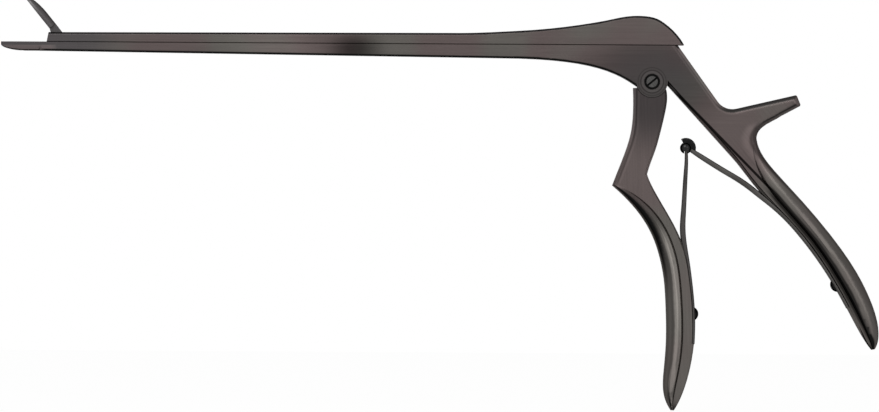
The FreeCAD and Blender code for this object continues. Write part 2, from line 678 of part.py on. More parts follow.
def upper_jaw():
    """Cupped jaw with its tang: pivot hole below, slot for the drive pin above; open."""
    rim = SEAM_Z + RIM_GAP
    shoulder = JAW_X - JAW_SHOULDER
    pivot = (JAW_X, JAW_Z)
    slot_angle = 90 + JAW_OPENING / 2
    near_end = polar(JAW_LEVER, slot_angle, pivot)
    far_end = polar(JAW_LEVER / math.cos(math.radians(JAW_OPENING / 2)), slot_angle, pivot)
    cup = jaw_back(rim, JAW_THICKNESS, shoulder, 1)
    hole = cross_pin(JAW_PIVOT_DIAMETER / 2 + PIN_CLEARANCE, pivot, -SHAFT_WIDTH, SHAFT_WIDTH)
    jaw = cup.fuse(tang(rim, far_end, pivot))
    jaw = jaw.cut([jaw_hollow(rim, 1), hole, drive_slot(near_end, far_end, slot_angle)])
    jaw = jaw.removeSplitter()
    jaw.rotate(at(*pivot), Y_AXIS, JAW_OPENING)
    return jaw


def jaw_pivot_pin():
    """Pin in the fixed bar that the upper jaw turns on."""
    half = SHAFT_WIDTH / 2
    return cross_pin(JAW_PIVOT_DIAMETER / 2, (JAW_X, JAW_Z), -half, half)


def jaw_drive_pin():
    """Pin across the slider's fork that pushes and pulls the jaw's tang."""
    half = SHAFT_WIDTH / 2
    return cross_pin(DRIVE_PIN_DIAMETER / 2, (DRIVE_X, DRIVE_Z), -half, half)


def tongue():
    """Tongue between the cheeks: eye about the pivot, lever up into the slider."""
    lean = 90 - HANDLE_SWING / 2
    half = TONGUE_THICKNESS / 2
    pivot = (PIVOT_X, PIVOT_Z)
    nose = polar(LEVER_LENGTH, lean)
    arm = Outline(*polar(LEVER_BASE, lean + 90))
    arm.line(polar(LEVER_TIP, lean + 90, nose), polar(LEVER_TIP, lean - 90, nose),
             polar(LEVER_BASE, lean - 90))
    root = block(PIVOT_X - EYE_RADIUS, PIVOT_X + EYE_RADIUS, half, PIVOT_Z - TONGUE_ROOT, PIVOT_Z)
    eye = cross_pin(EYE_RADIUS, pivot, -half, half)
    return eye.fuse([root, arm.prism(half), cross_pin(LEVER_NOSE_RADIUS, nose, -half, half)])


def front_shank():
    """Front handle from its shoulder under the cheeks down to its grip."""
    radius = LOBE_RADIUS + LOBE_CLEARANCE
    height = PIVOT_Z - SHOULDER_DROP
    lead = math.sqrt(radius ** 2 - SHOULDER_DROP ** 2)
    inner, outer = FRONT_GRIP[0][:2]
    outline = Outline(PIVOT_X - SHOULDER_REACH, height)
    outline.line((PIVOT_X - lead, height))
    outline.arc(polar(radius, 270), polar(radius, SHOULDER_END_ANGLE))
    outline.curve(*SHANK_INNER, inner)
    outline.line(outer)
    outline.curve(*SHANK_OUTER, (PIVOT_X - SHOULDER_REACH, height))
    shank = outline.prism(SHANK_WIDTH / 2)
    low = inner[1]
    edges = long_edges(shank, lambda m: low < m.z < height - SHANK_BEVEL_END)
    return shank.makeChamfer(SHANK_BEVEL, edges)


def front_handle():
    """Squeezed handle: tongue, shank and grip, with the leaf's seat and screw hole."""
    bore = cross_pin(SCREW_SHOULDER_DIAMETER / 2 + SCREW_FIT, (PIVOT_X, PIVOT_Z),
                     -BODY_WIDTH, BODY_WIDTH)
    solid = front_shank().fuse([tongue(), grip(FRONT_GRIP, SHANK_BEVEL)])
    solid = solid.cut([bore, leaf_seat(FRONT_LEAF_FOOT, 1),
                       screw_hole(FRONT_LEAF_FOOT, FRONT_SCREW_SPAN, 1, 0.0)])
    return solid.removeSplitter()


def handle_pivot_screw():
    """Slotted shoulder screw that the front handle turns on."""
    pivot = (PIVOT_X, PIVOT_Z)
    top = SCREW_SINK - BODY_WIDTH / 2
    floor = top + SCREW_HEAD_DEPTH
    half = TONGUE_THICKNESS / 2 + TONGUE_CLEARANCE
    head = cross_pin(SCREW_HEAD_DIAMETER / 2, pivot, top, floor)
    shoulder = cross_pin(SCREW_SHOULDER_DIAMETER / 2, pivot, floor, half)
    thread = cross_pin(SCREW_THREAD_DIAMETER / 2, pivot, half, -top)
    slot = screw_slot(at(*pivot, top), -Y_AXIS, SCREW_HEAD_DIAMETER, SCREW_SLOT_DEPTH)
    return head.fuse([shoulder, thread]).cut(slot)


def ball_centre():
    """Centre of the ball, straight beyond the end of the front leaf."""
    inner, outer = leaf_points(FRONT_LEAF_FOOT + FRONT_LEAF_FREE, 1)
    run = inner[-1] - inner[-2]
    run.normalize()
    return (inner[-1] + outer[-1]) * 0.5 + run * BALL_SEAT


def front_leaf_spring():
    """Leaf on the front handle, straight up to the ball."""
    strip = leaf_strip(FRONT_LEAF_FOOT, FRONT_LEAF_FREE, 1)
    return strip.cut(screw_hole(FRONT_LEAF_FOOT, FRONT_SCREW_SPAN, 1, SPRING_SCREW_FIT))


def spring_ball():
    """Ball on the end of the front leaf."""
    strip = leaf_strip(FRONT_LEAF_FOOT, FRONT_LEAF_FREE, 1)
    return Part.makeSphere(BALL_RADIUS, ball_centre()).cut(strip)


def hook():
    """Open ring at the end of the rear leaf, around the ball."""
    centre = ball_centre()
    place = (centre.x, centre.z)
    inside = BALL_RADIUS + HOOK_CLEARANCE
    outside = inside + HOOK_THICKNESS
    middle = (HOOK_START_ANGLE + HOOK_END_ANGLE) / 2
    outline = Outline(*polar(inside, HOOK_START_ANGLE, place))
    outline.line(polar(outside, HOOK_START_ANGLE, place))
    outline.arc(polar(outside, middle, place), polar(outside, HOOK_END_ANGLE, place))
    outline.line(polar(inside, HOOK_END_ANGLE, place))
    outline.arc(polar(inside, middle, place), polar(inside, HOOK_START_ANGLE, place))
    return outline.prism(LEAF_TIP_WIDTH / 2)


def rear_leaf_spring():
    """Leaf on the rear handle, bent across to the ball and hooked around it."""
    centre = ball_centre()
    room = cross_pin(BALL_RADIUS + HOOK_CLEARANCE, (centre.x, centre.z), -BODY_WIDTH, BODY_WIDTH)
    strip = leaf_strip(REAR_LEAF_FOOT, REAR_LEAF_FREE, -1).cut(room)
    leaf = strip.fuse(hook())
    hole = screw_hole(REAR_LEAF_FOOT, REAR_SCREW_SPAN, -1, SPRING_SCREW_FIT)
    return leaf.cut(hole).removeSplitter()


def spring_screw(foot, span, side):
    """Slotted screw with a domed head, through a leaf into its grip."""
    place, out = screw_place(foot, span, side)
    base = place + out * (foot[1][1] + SPRING_SCREW_LIFT)
    end = place - out * SPRING_SCREW_LENGTH
    radius = SPRING_SCREW_HEAD_DIAMETER / 2
    height = SPRING_SCREW_HEAD_HEIGHT
    dome = (radius ** 2 + height ** 2) / (2 * height)
    head = Part.makeSphere(dome, base - out * (dome - height))
    head = head.common(Part.makeCylinder(radius + 1.0, height + 1.0, base, out))
    shank = Part.makeCylinder(SPRING_SCREW_DIAMETER / 2, (base - end).Length, end, out)
    slot = screw_slot(base + out * height, out, 2 * radius, SCREW_SLOT_DEPTH)
    return head.fuse(shank).cut(slot)


def front_spring_screw():
    """Screw of the front leaf."""
    return spring_screw(FRONT_LEAF_FOOT, FRONT_SCREW_SPAN, 1)


def rear_spring_screw():
    """Screw of the rear leaf."""
    return spring_screw(REAR_LEAF_FOOT, REAR_SCREW_SPAN, -1)


NODES = {
    "frame": frame,
    "slider": slider,
    "upper_jaw": upper_jaw,
    "jaw_pivot_pin": jaw_pivot_pin,
    "jaw_drive_pin": jaw_drive_pin,
    "front_handle": front_handle,
    "handle_pivot_screw": handle_pivot_screw,
    "front_leaf_spring": front_leaf_spring,
    "rear_leaf_spring": rear_leaf_spring,
    "spring_ball": spring_ball,
    "front_spring_screw": front_spring_screw,
    "rear_spring_screw": rear_spring_screw,
}


def main():
    os.makedirs("parts", exist_ok=True)
    for name, make in NODES.items():
        shape = make()
        solids = shape.Solids
        print(name, len(solids), shape.isValid(), round(shape.Volume, 2))
        shape.exportStep("parts/" + name + ".step")


main()
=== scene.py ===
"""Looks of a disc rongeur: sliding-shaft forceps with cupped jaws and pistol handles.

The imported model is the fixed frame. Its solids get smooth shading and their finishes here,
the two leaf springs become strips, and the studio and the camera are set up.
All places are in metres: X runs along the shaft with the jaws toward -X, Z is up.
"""

import logging
import math
from collections.abc import Callable, Sequence
from dataclasses import dataclass
from enum import Enum
from functools import reduce

import bpy
import numpy as np
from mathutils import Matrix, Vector


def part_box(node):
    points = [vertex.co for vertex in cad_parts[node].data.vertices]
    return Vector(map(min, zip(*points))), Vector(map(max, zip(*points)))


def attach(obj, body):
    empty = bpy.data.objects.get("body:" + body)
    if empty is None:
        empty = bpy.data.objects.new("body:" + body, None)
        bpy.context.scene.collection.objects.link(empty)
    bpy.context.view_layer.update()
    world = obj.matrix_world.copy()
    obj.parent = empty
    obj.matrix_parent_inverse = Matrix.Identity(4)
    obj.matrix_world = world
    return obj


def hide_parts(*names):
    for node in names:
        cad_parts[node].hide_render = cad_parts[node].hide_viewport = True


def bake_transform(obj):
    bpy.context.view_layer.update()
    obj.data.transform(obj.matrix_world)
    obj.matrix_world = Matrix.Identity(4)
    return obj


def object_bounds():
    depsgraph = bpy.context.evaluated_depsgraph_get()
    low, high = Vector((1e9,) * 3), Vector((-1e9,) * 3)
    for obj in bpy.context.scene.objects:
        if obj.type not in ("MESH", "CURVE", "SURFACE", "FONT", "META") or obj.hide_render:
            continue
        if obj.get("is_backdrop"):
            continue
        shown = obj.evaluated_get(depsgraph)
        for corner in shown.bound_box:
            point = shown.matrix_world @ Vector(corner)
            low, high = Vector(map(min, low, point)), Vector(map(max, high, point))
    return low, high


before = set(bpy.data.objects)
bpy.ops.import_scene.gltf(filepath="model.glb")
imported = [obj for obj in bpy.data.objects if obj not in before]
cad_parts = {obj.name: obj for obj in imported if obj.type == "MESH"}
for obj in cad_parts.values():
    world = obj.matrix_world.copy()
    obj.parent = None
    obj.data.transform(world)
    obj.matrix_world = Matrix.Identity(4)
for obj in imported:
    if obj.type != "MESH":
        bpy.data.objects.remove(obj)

LOG = logging.getLogger("disc_rongeur")
MM = 0.001
PIVOT = tuple((low + high) / 2 for low, high in zip(*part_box("handle_pivot_screw")))[::2]
WHITE = (1.0, 1.0, 1.0, 1.0)

# A pair is a point's x and z or a streak's length and width, a span the values at which a
# share is 0 and 1, a run the spans over which a share rises and falls, and knots are the
# distance and the height at each corner of a line.
Colour = tuple[float, float, float]
Pair = tuple[float, float]
Span = Pair
Run = tuple[Span, Span]
Knots = tuple[Pair, ...]


def mm(*values: float) -> tuple[float, ...]:
    """Millimetres in metres."""
    return tuple(value * MM for value in values)


# Shader sockets as Python values

def math_method(operation: str, swapped: bool = False) -> Callable[..., "Signal"]:
    """A method that passes a Signal and its arguments through one Math node.

    Args:
        operation: Operation of the Math node.
        swapped: Whether the argument comes first, as in 1 - mask.

    Returns:
        The method.
    """
    def method(self: "Signal", *others: "Signal | float") -> "Signal":
        """The Math node's result."""
        values = (*others, self) if swapped else (self, *others)
        return node(self.tree, "ShaderNodeMath", {"operation": operation}, *values)

    return method


@dataclass(frozen=True)
class Signal:
    """An output socket of a material's node tree that can be used in Python arithmetic."""

    tree: bpy.types.NodeTree
    socket: bpy.types.NodeSocket

    __add__ = __radd__ = math_method("ADD")
    __sub__ = math_method("SUBTRACT")
    __rsub__ = math_method("SUBTRACT", swapped=True)
    __mul__ = __rmul__ = math_method("MULTIPLY")
    __truediv__ = math_method("DIVIDE")
    __pow__ = math_method("POWER")
    __abs__ = math_method("ABSOLUTE")
    smaller = math_method("MINIMUM")
    larger = math_method("MAXIMUM")

    def __neg__(self) -> "Signal":
        """Opposite value."""
        return self * -1.0

    def step(self, low: float, high: float) -> "Signal":
        """A smooth rise from 0 at low to 1 at high, or a fall where low is above high.

        Args:
            low: Value at which the result is 0.
            high: Value at which the result is 1.

        Returns:
            The eased and clamped share.
        """
        ends = (low, high, 0.0, 1.0) if low < high else (high, low, 1.0, 0.0)
        return node(self.tree, "ShaderNodeMapRange", {"interpolation_type": "SMOOTHSTEP"},
                    self, *ends)

    def within(self, rise: Span, fall: Span) -> "Signal":
        """Share that rises over one span and falls over the other."""
        return self.step(*rise) * self.step(*fall)

    def near(self, centre: float, span: Span) -> "Signal":
        """Share by the distance from a value, as on a fine line there."""
        return abs(self - centre).step(*span)


def node(tree: bpy.types.NodeTree, kind: str, settings: dict[str, object],
         *values: "Signal | float | Sequence[float] | None",
         output: int | str = 0, **named: "Signal | float | Sequence[float]") -> Signal:
    """Adds a node, applies its settings and then fills or links its inputs.

    Args:
        tree: Node tree that gets the node.
        kind: Node type, such as ShaderNodeMath.
        settings: Properties set first, such as a Math node's operation.
        *values: Values or links of the first input sockets, in order; None leaves one be.
        output: Index or name of the output socket that is returned.
        **named: Values or links of input sockets by name, with _ for a space.

    Returns:
        The chosen output.
    """
    made = tree.nodes.new(kind)
    for key, setting in settings.items():
        setattr(made, key, setting)
    wanted = list(zip(made.inputs, values))
    wanted += [(made.inputs[name.replace("_", " ")], value) for name, value in named.items()]
    for socket, value in wanted:
        if isinstance(value, Signal):
            tree.links.new(value.socket, socket)
        elif value is not None:
            socket.default_value = value
    return Signal(tree, made.outputs[output])


def blend_colours(share: Signal, start: "Signal | Colour", end: "Signal | Colour") -> Signal:
    """Mixes two colours through a Mix node, whose colours are its sockets 6 and 7.

    Args:
        share: 0 gives the first colour, 1 the second.
        start: First colour.
        end: Second colour.

    Returns:
        The mixed colour.
    """
    ends = (one if isinstance(one, Signal) else (*one, 1.0) for one in (start, end))
    return node(share.tree, "ShaderNodeMix", {"data_type": "RGBA"}, share, *[None] * 5, *ends,
                output=2)


def scaled_colour(colour: "Signal | Colour", factor: Signal) -> Signal:
    """A colour made darker or lighter by a value, by Vector Math."""
    return node(factor.tree, "ShaderNodeVectorMath", {"operation": "SCALE"},
                colour, None, None, factor)


def taper(along: Signal, knots: Knots) -> Signal:
    """Height of an arched line of straight runs, which keep their slope past their ends.

    Args:
        along: Distance along the line.
        knots: Distance and height at each corner, arched so that the runs lie above it.

    Returns:
        The height.
    """
    runs = [(along - start) * ((high - low) / (end - start)) + low
            for (start, low), (end, high) in zip(knots, knots[1:])]
    return reduce(Signal.smaller, runs)


def emptied_tree(owner: bpy.types.Material | bpy.types.World) -> bpy.types.NodeTree:
    """The node tree of a material or world, with nothing in it.

    Args:
        owner: Material or world, which is switched to nodes.

    Returns:
        The empty tree.
    """
    owner.use_nodes = True
    owner.node_tree.nodes.clear()
    return owner.node_tree


def show(surface: Signal, kind: str = "ShaderNodeOutputMaterial") -> None:
    """Links a shader to a new output node of its tree."""
    end = surface.tree.nodes.new(kind)
    surface.tree.links.new(surface.socket, end.inputs["Surface"])


def seen_by(tree: bpy.types.NodeTree, *rays: str) -> Signal:
    """1 for the named rays, such as Camera, and 0 for the others, from Light Path."""
    return reduce(Signal.larger, [node(tree, "ShaderNodeLightPath", {}, output=f"Is {ray} Ray")
                                  for ray in rays])


class Grain(Enum):
    """Way in which the fine brushing of a finish runs, as its angle from +X in degrees."""

    SHAFT = 0.0
    REAR_GRIP = -50.0
    UPRIGHT = -88.0


@dataclass(frozen=True)
class Place:
    """Where a material is: position, split into axes, and the surface's own direction.

    facing is 1 on the flat sides, rise is 1 where the surface looks up, and lean is 1
    where it looks back along +X.
    """

    spot: Signal
    x: Signal
    y: Signal
    z: Signal
    lean: Signal
    facing: Signal
    rise: Signal

    @classmethod
    def of(cls, tree: bpy.types.NodeTree) -> "Place":
        """Reads Object coordinates and the normal in the piece's own frame.

        Args:
            tree: Node tree of the material.

        Returns:
            The place.
        """
        spot = node(tree, "ShaderNodeTexCoord", {}, output="Object")
        normal = node(tree, "ShaderNodeTexCoord", {}, output="Normal")
        split = [node(tree, "ShaderNodeSeparateXYZ", {}, spot, output=i) for i in range(3)]
        lean, side, rise = (node(tree, "ShaderNodeSeparateXYZ", {}, normal, output=i)
                            for i in range(3))
        return cls(spot, *split, lean, abs(side), rise)

    @property
    def down(self) -> Signal:
        """Way along the rear handle, from the body to its tip: x - z."""
        return self.x - self.z

    def radius(self, centre: Pair, stretch: float = 1.0) -> Signal:
        """Distance from an axis along Y, measured shorter along X where it is stretched.

        Args:
            centre: Place of the axis as x, z.
            stretch: Factor by which the rings of equal distance are longer along X.

        Returns:
            The distance.
        """
        across = (self.x - centre[0]) / stretch
        up = self.z - centre[1]
        return (across * across + up * up) ** 0.5

    def along(self, grain: Grain, length: float, width: float) -> Signal:
        """Noise drawn out along the grain.

        Args:
            grain: Way in which the streaks run.
            length: Length of a streak.
            width: Width of a streak.

        Returns:
            Noise from 0 to 1.
        """
        turned = node(self.spot.tree, "ShaderNodeMapping", {}, self.spot,
                      (0.0, 0.0, 0.0), (0.0, math.radians(grain.value), 0.0))
        scaled = node(self.spot.tree, "ShaderNodeVectorMath", {"operation": "MULTIPLY"},
                      turned, (1.0 / length, 1.0 / width, 1.0 / width))
        return node(self.spot.tree, "ShaderNodeTexNoise", {}, scaled, Scale=1.0, Detail=3.0,
                    Roughness=0.55)

    def edge(self, start: float, end: float, fade: Span = (0.02, 0.30)) -> Signal:
        """Share of a rounded or bevelled edge, 0 on the sides and on what looks up or down.

        Args:
            start: Side facing at which the edge begins.
            end: Side facing from which it counts in full.
            fade: Side facing over which it fades in from what looks up or down.

        Returns:
            The share, 0 to 1.
        """
        return self.facing.within((start, end), fade)

    def patches(self, size: float, detail: float = 2.0) -> Signal:
        """Soft round patches of about the given size, from 0 to 1."""
        return node(self.spot.tree, "ShaderNodeTexNoise", {}, self.spot, Scale=1.0 / size,
                    Detail=detail, Roughness=0.5)


Shade = Callable[[Place], Signal]


# Finishes

@dataclass(frozen=True)
class Finish:
    """What all finishes of the instrument share: a dark coated metal."""

    name: str
    roughness: float = 0.36
    edge_tint: float = 0.40
    relief_strength: float = 0.35
    relief_depth: float = 0.02 * MM

    def colour(self, place: Place) -> Signal:
        """Base colour over the surface."""
        raise NotImplementedError

    def relief(self, place: Place) -> Signal:
        """Height of the fine relief, from 0 to 1."""
        raise NotImplementedError

    def polish(self, place: Place) -> Signal:
        """Roughness over the surface."""
        raise NotImplementedError

    def make(self) -> bpy.types.Material:
        """Builds the material.

        Returns:
            The finished material.
        """
        material = bpy.data.materials.new(self.name)
        tree = emptied_tree(material)
        place = Place.of(tree)
        bump = node(tree, "ShaderNodeBump", {}, Strength=self.relief_strength,
                    Distance=self.relief_depth, Height=self.relief(place))
        show(node(tree, "ShaderNodeBsdfPrincipled", {}, Base_Color=self.colour(place),
                  Roughness=self.polish(place), Metallic=1.0, Normal=bump,
                  Specular_Tint=(self.edge_tint,) * 3 + (1.0,)))
        return material


@dataclass(frozen=True)
class BrushedCoat(Finish):
    """Dark brown-grey coat, brushed: lighter on the flats, with painted shade near black in the
    rounded edges.

    A streak's size is its length and width. The painted edge shade is darkest where
    the edges look down, by the weights of what looks forward and down.
    """

    neutral: Colour = (0.104, 0.097, 0.089)
    warm: Colour = (0.104, 0.083, 0.081)
    cool: Colour = (0.073, 0.067, 0.070)
    # Colours of the painted edge shade: dark, and black where the edges look down.
    dark: Colour = (0.034, 0.032, 0.031)
    black: Colour = (0.008, 0.008, 0.008)
    grains: tuple[tuple[Grain, Shade], ...] = ()
    first_grain: Grain = Grain.SHAFT
    patch_size: float = 24 * MM
    patch_span: Span = (0.38, 0.62)
    streak: Pair = mm(30, 0.5)
    streak_gain: float = 0.34
    fine_streak: Pair = mm(12, 0.12)
    fine_gain: float = 0.22
    least_light: float = 0.72
    scratch: Pair = mm(14, 0.09)
    dull_streak: Pair = mm(20, 0.25)
    dull_change: float = 0.07
    edge_span: Span = (0.99, 0.86)
    under_shade_edge: Span = (0.997, 0.94)
    under_shade_span: Span = (0.06, 0.36)
    under_shade_forward: float = 0.15
    under_shade_down: float = 0.9
    edge_limit: Shade | None = None
    cool_share: Shade | None = None
    warm_share: Callable[[Place, Signal], Signal] | None = None
    shades: tuple[Shade, ...] = ()

    def _grained(self, place: Place, length: float, width: float) -> Signal:
        """Streaks that turn from one grain to the next over the piece.

        Args:
            place: Where on the piece the coat is.
            length: Length of a streak.
            width: Width of a streak.

        Returns:
            Noise from 0 to 1.
        """
        result = place.along(self.first_grain, length, width)
        for grain, where in self.grains:
            share = where(place)
            result = place.along(grain, length, width) * share + result * (1.0 - share)
        return result

    def colour(self, place: Place) -> Signal:
        """Patches of two greys, fine streaks, local shades and painted shade on the rounded
        edges.

        Args:
            place: Where on the piece the coat is.

        Returns:
            Base colour over the surface.
        """
        patch = place.patches(self.patch_size).step(*self.patch_span)
        if self.warm_share:
            patch = self.warm_share(place, patch)
        colour = blend_colours(patch, self.neutral, self.warm)
        if self.cool_share:
            colour = blend_colours(self.cool_share(place), colour, self.cool)
        streak = self._grained(place, *self.streak)
        fine = self._grained(place, *self.fine_streak)
        colour = scaled_colour(
            colour, self.least_light + streak * self.streak_gain + fine * self.fine_gain)
        for shade in self.shades:
            colour = scaled_colour(colour, shade(place))
        # Painted shade on the rounded edges: black where they look down, dark elsewhere.
        under_shade = (place.lean * -self.under_shade_forward
                     - place.rise * self.under_shade_down).step(*self.under_shade_span)
        edge = blend_colours(under_shade, self.dark, self.black)
        share = place.edge(*self.edge_span)
        share = share.larger(place.edge(*self.under_shade_edge) * under_shade)
        if self.edge_limit:
            share = share * self.edge_limit(place)
        return blend_colours(share, colour, edge)

    def relief(self, place: Place) -> Signal:
        """Fine scratches along the grain."""
        return self._grained(place, *self.scratch)

    def polish(self, place: Place) -> Signal:
        """Streaks that are a little duller or brighter."""
        streak = self._grained(place, *self.dull_streak)
        return self.roughness - self.dull_change + streak * (2 * self.dull_change)


@dataclass(frozen=True)
class SpringSteel(Finish):
    """Charcoal spring strip, smooth, with faint lengthwise marks and painted shade on the edge
    that looks up.
    """

    tone: Colour = (0.062, 0.058, 0.056)
    grain: Grain = Grain.UPRIGHT
    patch_size: float = 9 * MM
    patch_span: Span = (0.35, 0.65)
    patch_tone: float = 0.72
    streak: Pair = mm(16, 0.3)
    streak_gain: float = 0.4
    least_light: float = 0.8
    marks: Pair = mm(10, 0.12)
    # Painted shade on the edge that looks up.
    upper_lean: float = 0.6
    upper_span: Span = (0.05, 0.5)
    upper_edge: Span = (0.99, 0.7)
    upper_dark: float = 0.8
    dull_size: float = 4 * MM
    dull_gain: float = 0.08

    def colour(self, place: Place) -> Signal:
        """Charcoal with faint streaks and painted shade toward the edge that looks up.

        Args:
            place: Where on the piece the coat is.

        Returns:
            Base colour over the surface.
        """
        streak = place.along(self.grain, *self.streak)
        tone = blend_colours(place.patches(self.patch_size).step(*self.patch_span), self.tone,
                             tuple(self.patch_tone * c for c in self.tone))
        upper_shade = (place.rise + place.lean * self.upper_lean).step(*self.upper_span)
        upper_shade = upper_shade * place.edge(*self.upper_edge)
        return scaled_colour(tone, (self.least_light + streak * self.streak_gain) * (
            1.0 - upper_shade * self.upper_dark))

    def relief(self, place: Place) -> Signal:
        """Faint drawing marks."""
        return place.along(self.grain, *self.marks)

    def polish(self, place: Place) -> Signal:
        """Nearly even, a little duller in patches."""
        return self.roughness + place.patches(self.dull_size) * self.dull_gain


@dataclass(frozen=True)
class BlackOxide(Finish):
    """Glossy blackened steel of screws, pins, ball and hook."""

    tone: Colour = (0.012, 0.012, 0.012)
    roughness: float = 0.20
    edge_tint: float = 0.04
    patch_size: float = 1.2 * MM
    patch_span: Span = (0.5, 0.75)
    patch_tone: float = 2.0
    pit_size: float = 0.35 * MM
    fine_detail: float = 4.0
    dull_size: float = 0.9 * MM
    dull_gain: float = 0.16

    def colour(self, place: Place) -> Signal:
        """Near black, slightly worn in small patches."""
        patch = place.patches(self.patch_size, self.fine_detail).step(*self.patch_span)
        return blend_colours(patch, self.tone, tuple(self.patch_tone * c for c in self.tone))

    def relief(self, place: Place) -> Signal:
        """Fine pits."""
        return place.patches(self.pit_size, self.fine_detail)

    def polish(self, place: Place) -> Signal:
        """Glossy, duller in small patches."""
        return self.roughness + place.patches(self.dull_size) * self.dull_gain


@dataclass(frozen=True)
class WornScrew(BlackOxide):
    """Blackened screw whose face is rubbed to grey, with the slot and the rim left black."""

    worn: Colour = (0.082, 0.080, 0.078)
    tone: Colour = (0.005, 0.005, 0.005)
    roughness: float = 0.28
    flat_span: Span = (0.93, 0.985)
    depth_span: Span = mm(3.20, 3.30)
    radius_span: Span = mm(1.75, 1.60)
    scratch: Pair = mm(3, 0.10)
    scratch_span: Span = (0.25, 0.7)
    scratch_gain: float = 0.6
    least_light: float = 0.55

    def colour(self, place: Place) -> Signal:
        """Grey with fine scratches on the flat face, black in the slot and on the rim.

        Args:
            place: Where on the piece the coat is.

        Returns:
            Base colour over the surface.
        """
        face = place.facing.step(*self.flat_span) * (-place.y).step(*self.depth_span)
        face = face * place.radius(PIVOT).step(*self.radius_span)
        scratch = place.along(Grain.REAR_GRIP, *self.scratch).step(*self.scratch_span)
        grey = scaled_colour(self.worn, self.least_light + scratch * self.scratch_gain)
        return blend_colours(face, super().colour(place), grey)


# Mesh makers

def put_object(name: str, data: bpy.types.ID) -> bpy.types.Object:
    """Puts an object with the given data at the origin of the scene.

    Args:
        name: Name of the object.
        data: Mesh, light or camera.

    Returns:
        The object.
    """
    made = bpy.data.objects.new(name, data)
    bpy.context.scene.collection.objects.link(made)
    return made


def report(piece: bpy.types.Object) -> None:
    """Logs a finished piece."""
    LOG.info("%s: %d faces", piece.name, len(piece.data.polygons))


def put_mesh(name: str, points: np.ndarray, faces: Sequence[Sequence[int]],
             sharp_angle: float) -> bpy.types.Object:
    """Makes an object at the origin from points and faces, shaded smooth between sharp edges.

    Args:
        name: Name of the piece.
        points: Corner places, one row each.
        faces: Corner numbers of each face, seen from outside against the clock.
        sharp_angle: Edges that turn by more than this many degrees stay sharp.

    Returns:
        The new object.
    """
    mesh = bpy.data.meshes.new(name)
    mesh.from_pydata(points.tolist(), [], [list(map(int, face)) for face in faces])
    mesh.polygons.foreach_set("use_smooth", np.ones(len(mesh.polygons), bool))
    mesh.set_sharp_from_angle(angle=math.radians(sharp_angle))
    mesh.update()
    return put_object(name, mesh)


def smooth_line(points: np.ndarray, count: int) -> np.ndarray:
    """A smooth line through the points, as evenly spaced samples.

    Each coordinate is a cubic of the distance along the points, with its second
    derivative solved so that it is continuous, and zero at both ends.

    Args:
        points: Points that the line passes, one row each.
        count: Number of samples.

    Returns:
        The samples, one row each.
    """
    steps = np.linalg.norm(np.diff(points[:, :2], axis=0), axis=1)
    knots = np.concatenate([[0.0], np.cumsum(steps)])
    size = len(points)
    matrix = np.eye(size)
    right = np.zeros(points.shape)
    inner = np.arange(1, size - 1)
    matrix[inner, inner - 1] = steps[:-1]
    matrix[inner, inner] = 2 * (steps[:-1] + steps[1:])
    matrix[inner, inner + 1] = steps[1:]
    slopes = np.diff(points, axis=0) / steps[:, None]
    right[inner] = 6 * np.diff(slopes, axis=0)
    curve = np.linalg.solve(matrix, right)
    where = np.linspace(0.0, knots[-1], count)
    span = np.clip(np.searchsorted(knots, where, side="right") - 1, 0, size - 2)
    run = steps[span][:, None]
    done = (where - knots[span])[:, None]
    left = run - done
    return (curve[span] * left ** 3 + curve[span + 1] * done ** 3) / (6 * run) + (
        points[span] / run - curve[span] * run / 6) * left + (
        points[span + 1] / run - curve[span + 1] * run / 6) * done


def rounded_section(half_width: np.ndarray, half_depth: np.ndarray, radius: np.ndarray,
                    corner_steps: int = 5) -> tuple[np.ndarray, np.ndarray]:
    """Rounded rectangles, one for each station: four corner arcs joined by straight sides.

    Args:
        half_width: Half width at each station.
        half_depth: Half depth at each station.
        radius: Corner radius at each station.
        corner_steps: Points on each corner.

    Returns:
        Sideways and outward offsets, one row for each station.
    """
    quarter = np.linspace(0.0, math.pi / 2, corner_steps)
    angle = np.concatenate([quarter + turn * math.pi / 2 for turn in range(4)])
    middle = np.repeat(np.arange(4) * math.pi / 2 + math.pi / 4, corner_steps)
    across = np.sign(np.cos(middle)) * (half_width - radius)[:, None]
    across = across + radius[:, None] * np.cos(angle)
    out = np.sign(np.sin(middle)) * (half_depth - radius)[:, None]
    return across, out + radius[:, None] * np.sin(angle)


def closed_tube(rings: np.ndarray) -> tuple[np.ndarray, list[list[int]]]:
    """Points and faces of a tube of rings whose two ends are closed by a fan.

    Args:
        rings: Places as [station, point on the ring, coordinate].

    Returns:
        Points and faces, with the faces turned outward for rings that run against the
        clock seen from the last station.
    """
    stations, around, _ = rings.shape
    first = np.arange(stations - 1)[:, None] * around
    ring = np.arange(around)
    after = (ring + 1) % around
    quads = np.stack([first + ring, first + after, first + around + after,
                      first + around + ring], axis=-1).reshape(-1, 4)
    poles = rings[[0, -1]].mean(axis=1)
    points = np.concatenate([rings.reshape(-1, 3), poles])
    start_pole = np.full(around, stations * around)
    start_fan = np.stack([start_pole, after, ring], axis=-1)
    last = (stations - 1) * around
    end_fan = np.stack([start_pole + 1, last + ring, last + after], axis=-1)
    return points, quads.tolist() + start_fan.tolist() + end_fan.tolist()


def turned_outward(piece: bpy.types.Object) -> bpy.types.Object:
    """Turns all faces outward if the enclosed volume comes out negative.

    Args:
        piece: Closed piece whose faces all turn the same way.

    Returns:
        The same piece.
    """
    mesh = piece.data
    mesh.calc_loop_triangles()
    corners = np.zeros(len(mesh.loop_triangles) * 3, np.int32)
    mesh.loop_triangles.foreach_get("vertices", corners)
    places = np.zeros(len(mesh.vertices) * 3)
    mesh.vertices.foreach_get("co", places)
    a, b, c = places.reshape(-1, 3)[corners.reshape(-1, 3)].transpose(1, 0, 2)
    if np.einsum("ij,ij->i", a, np.cross(b, c)).sum() < 0:
        mesh.flip_normals()
    return piece


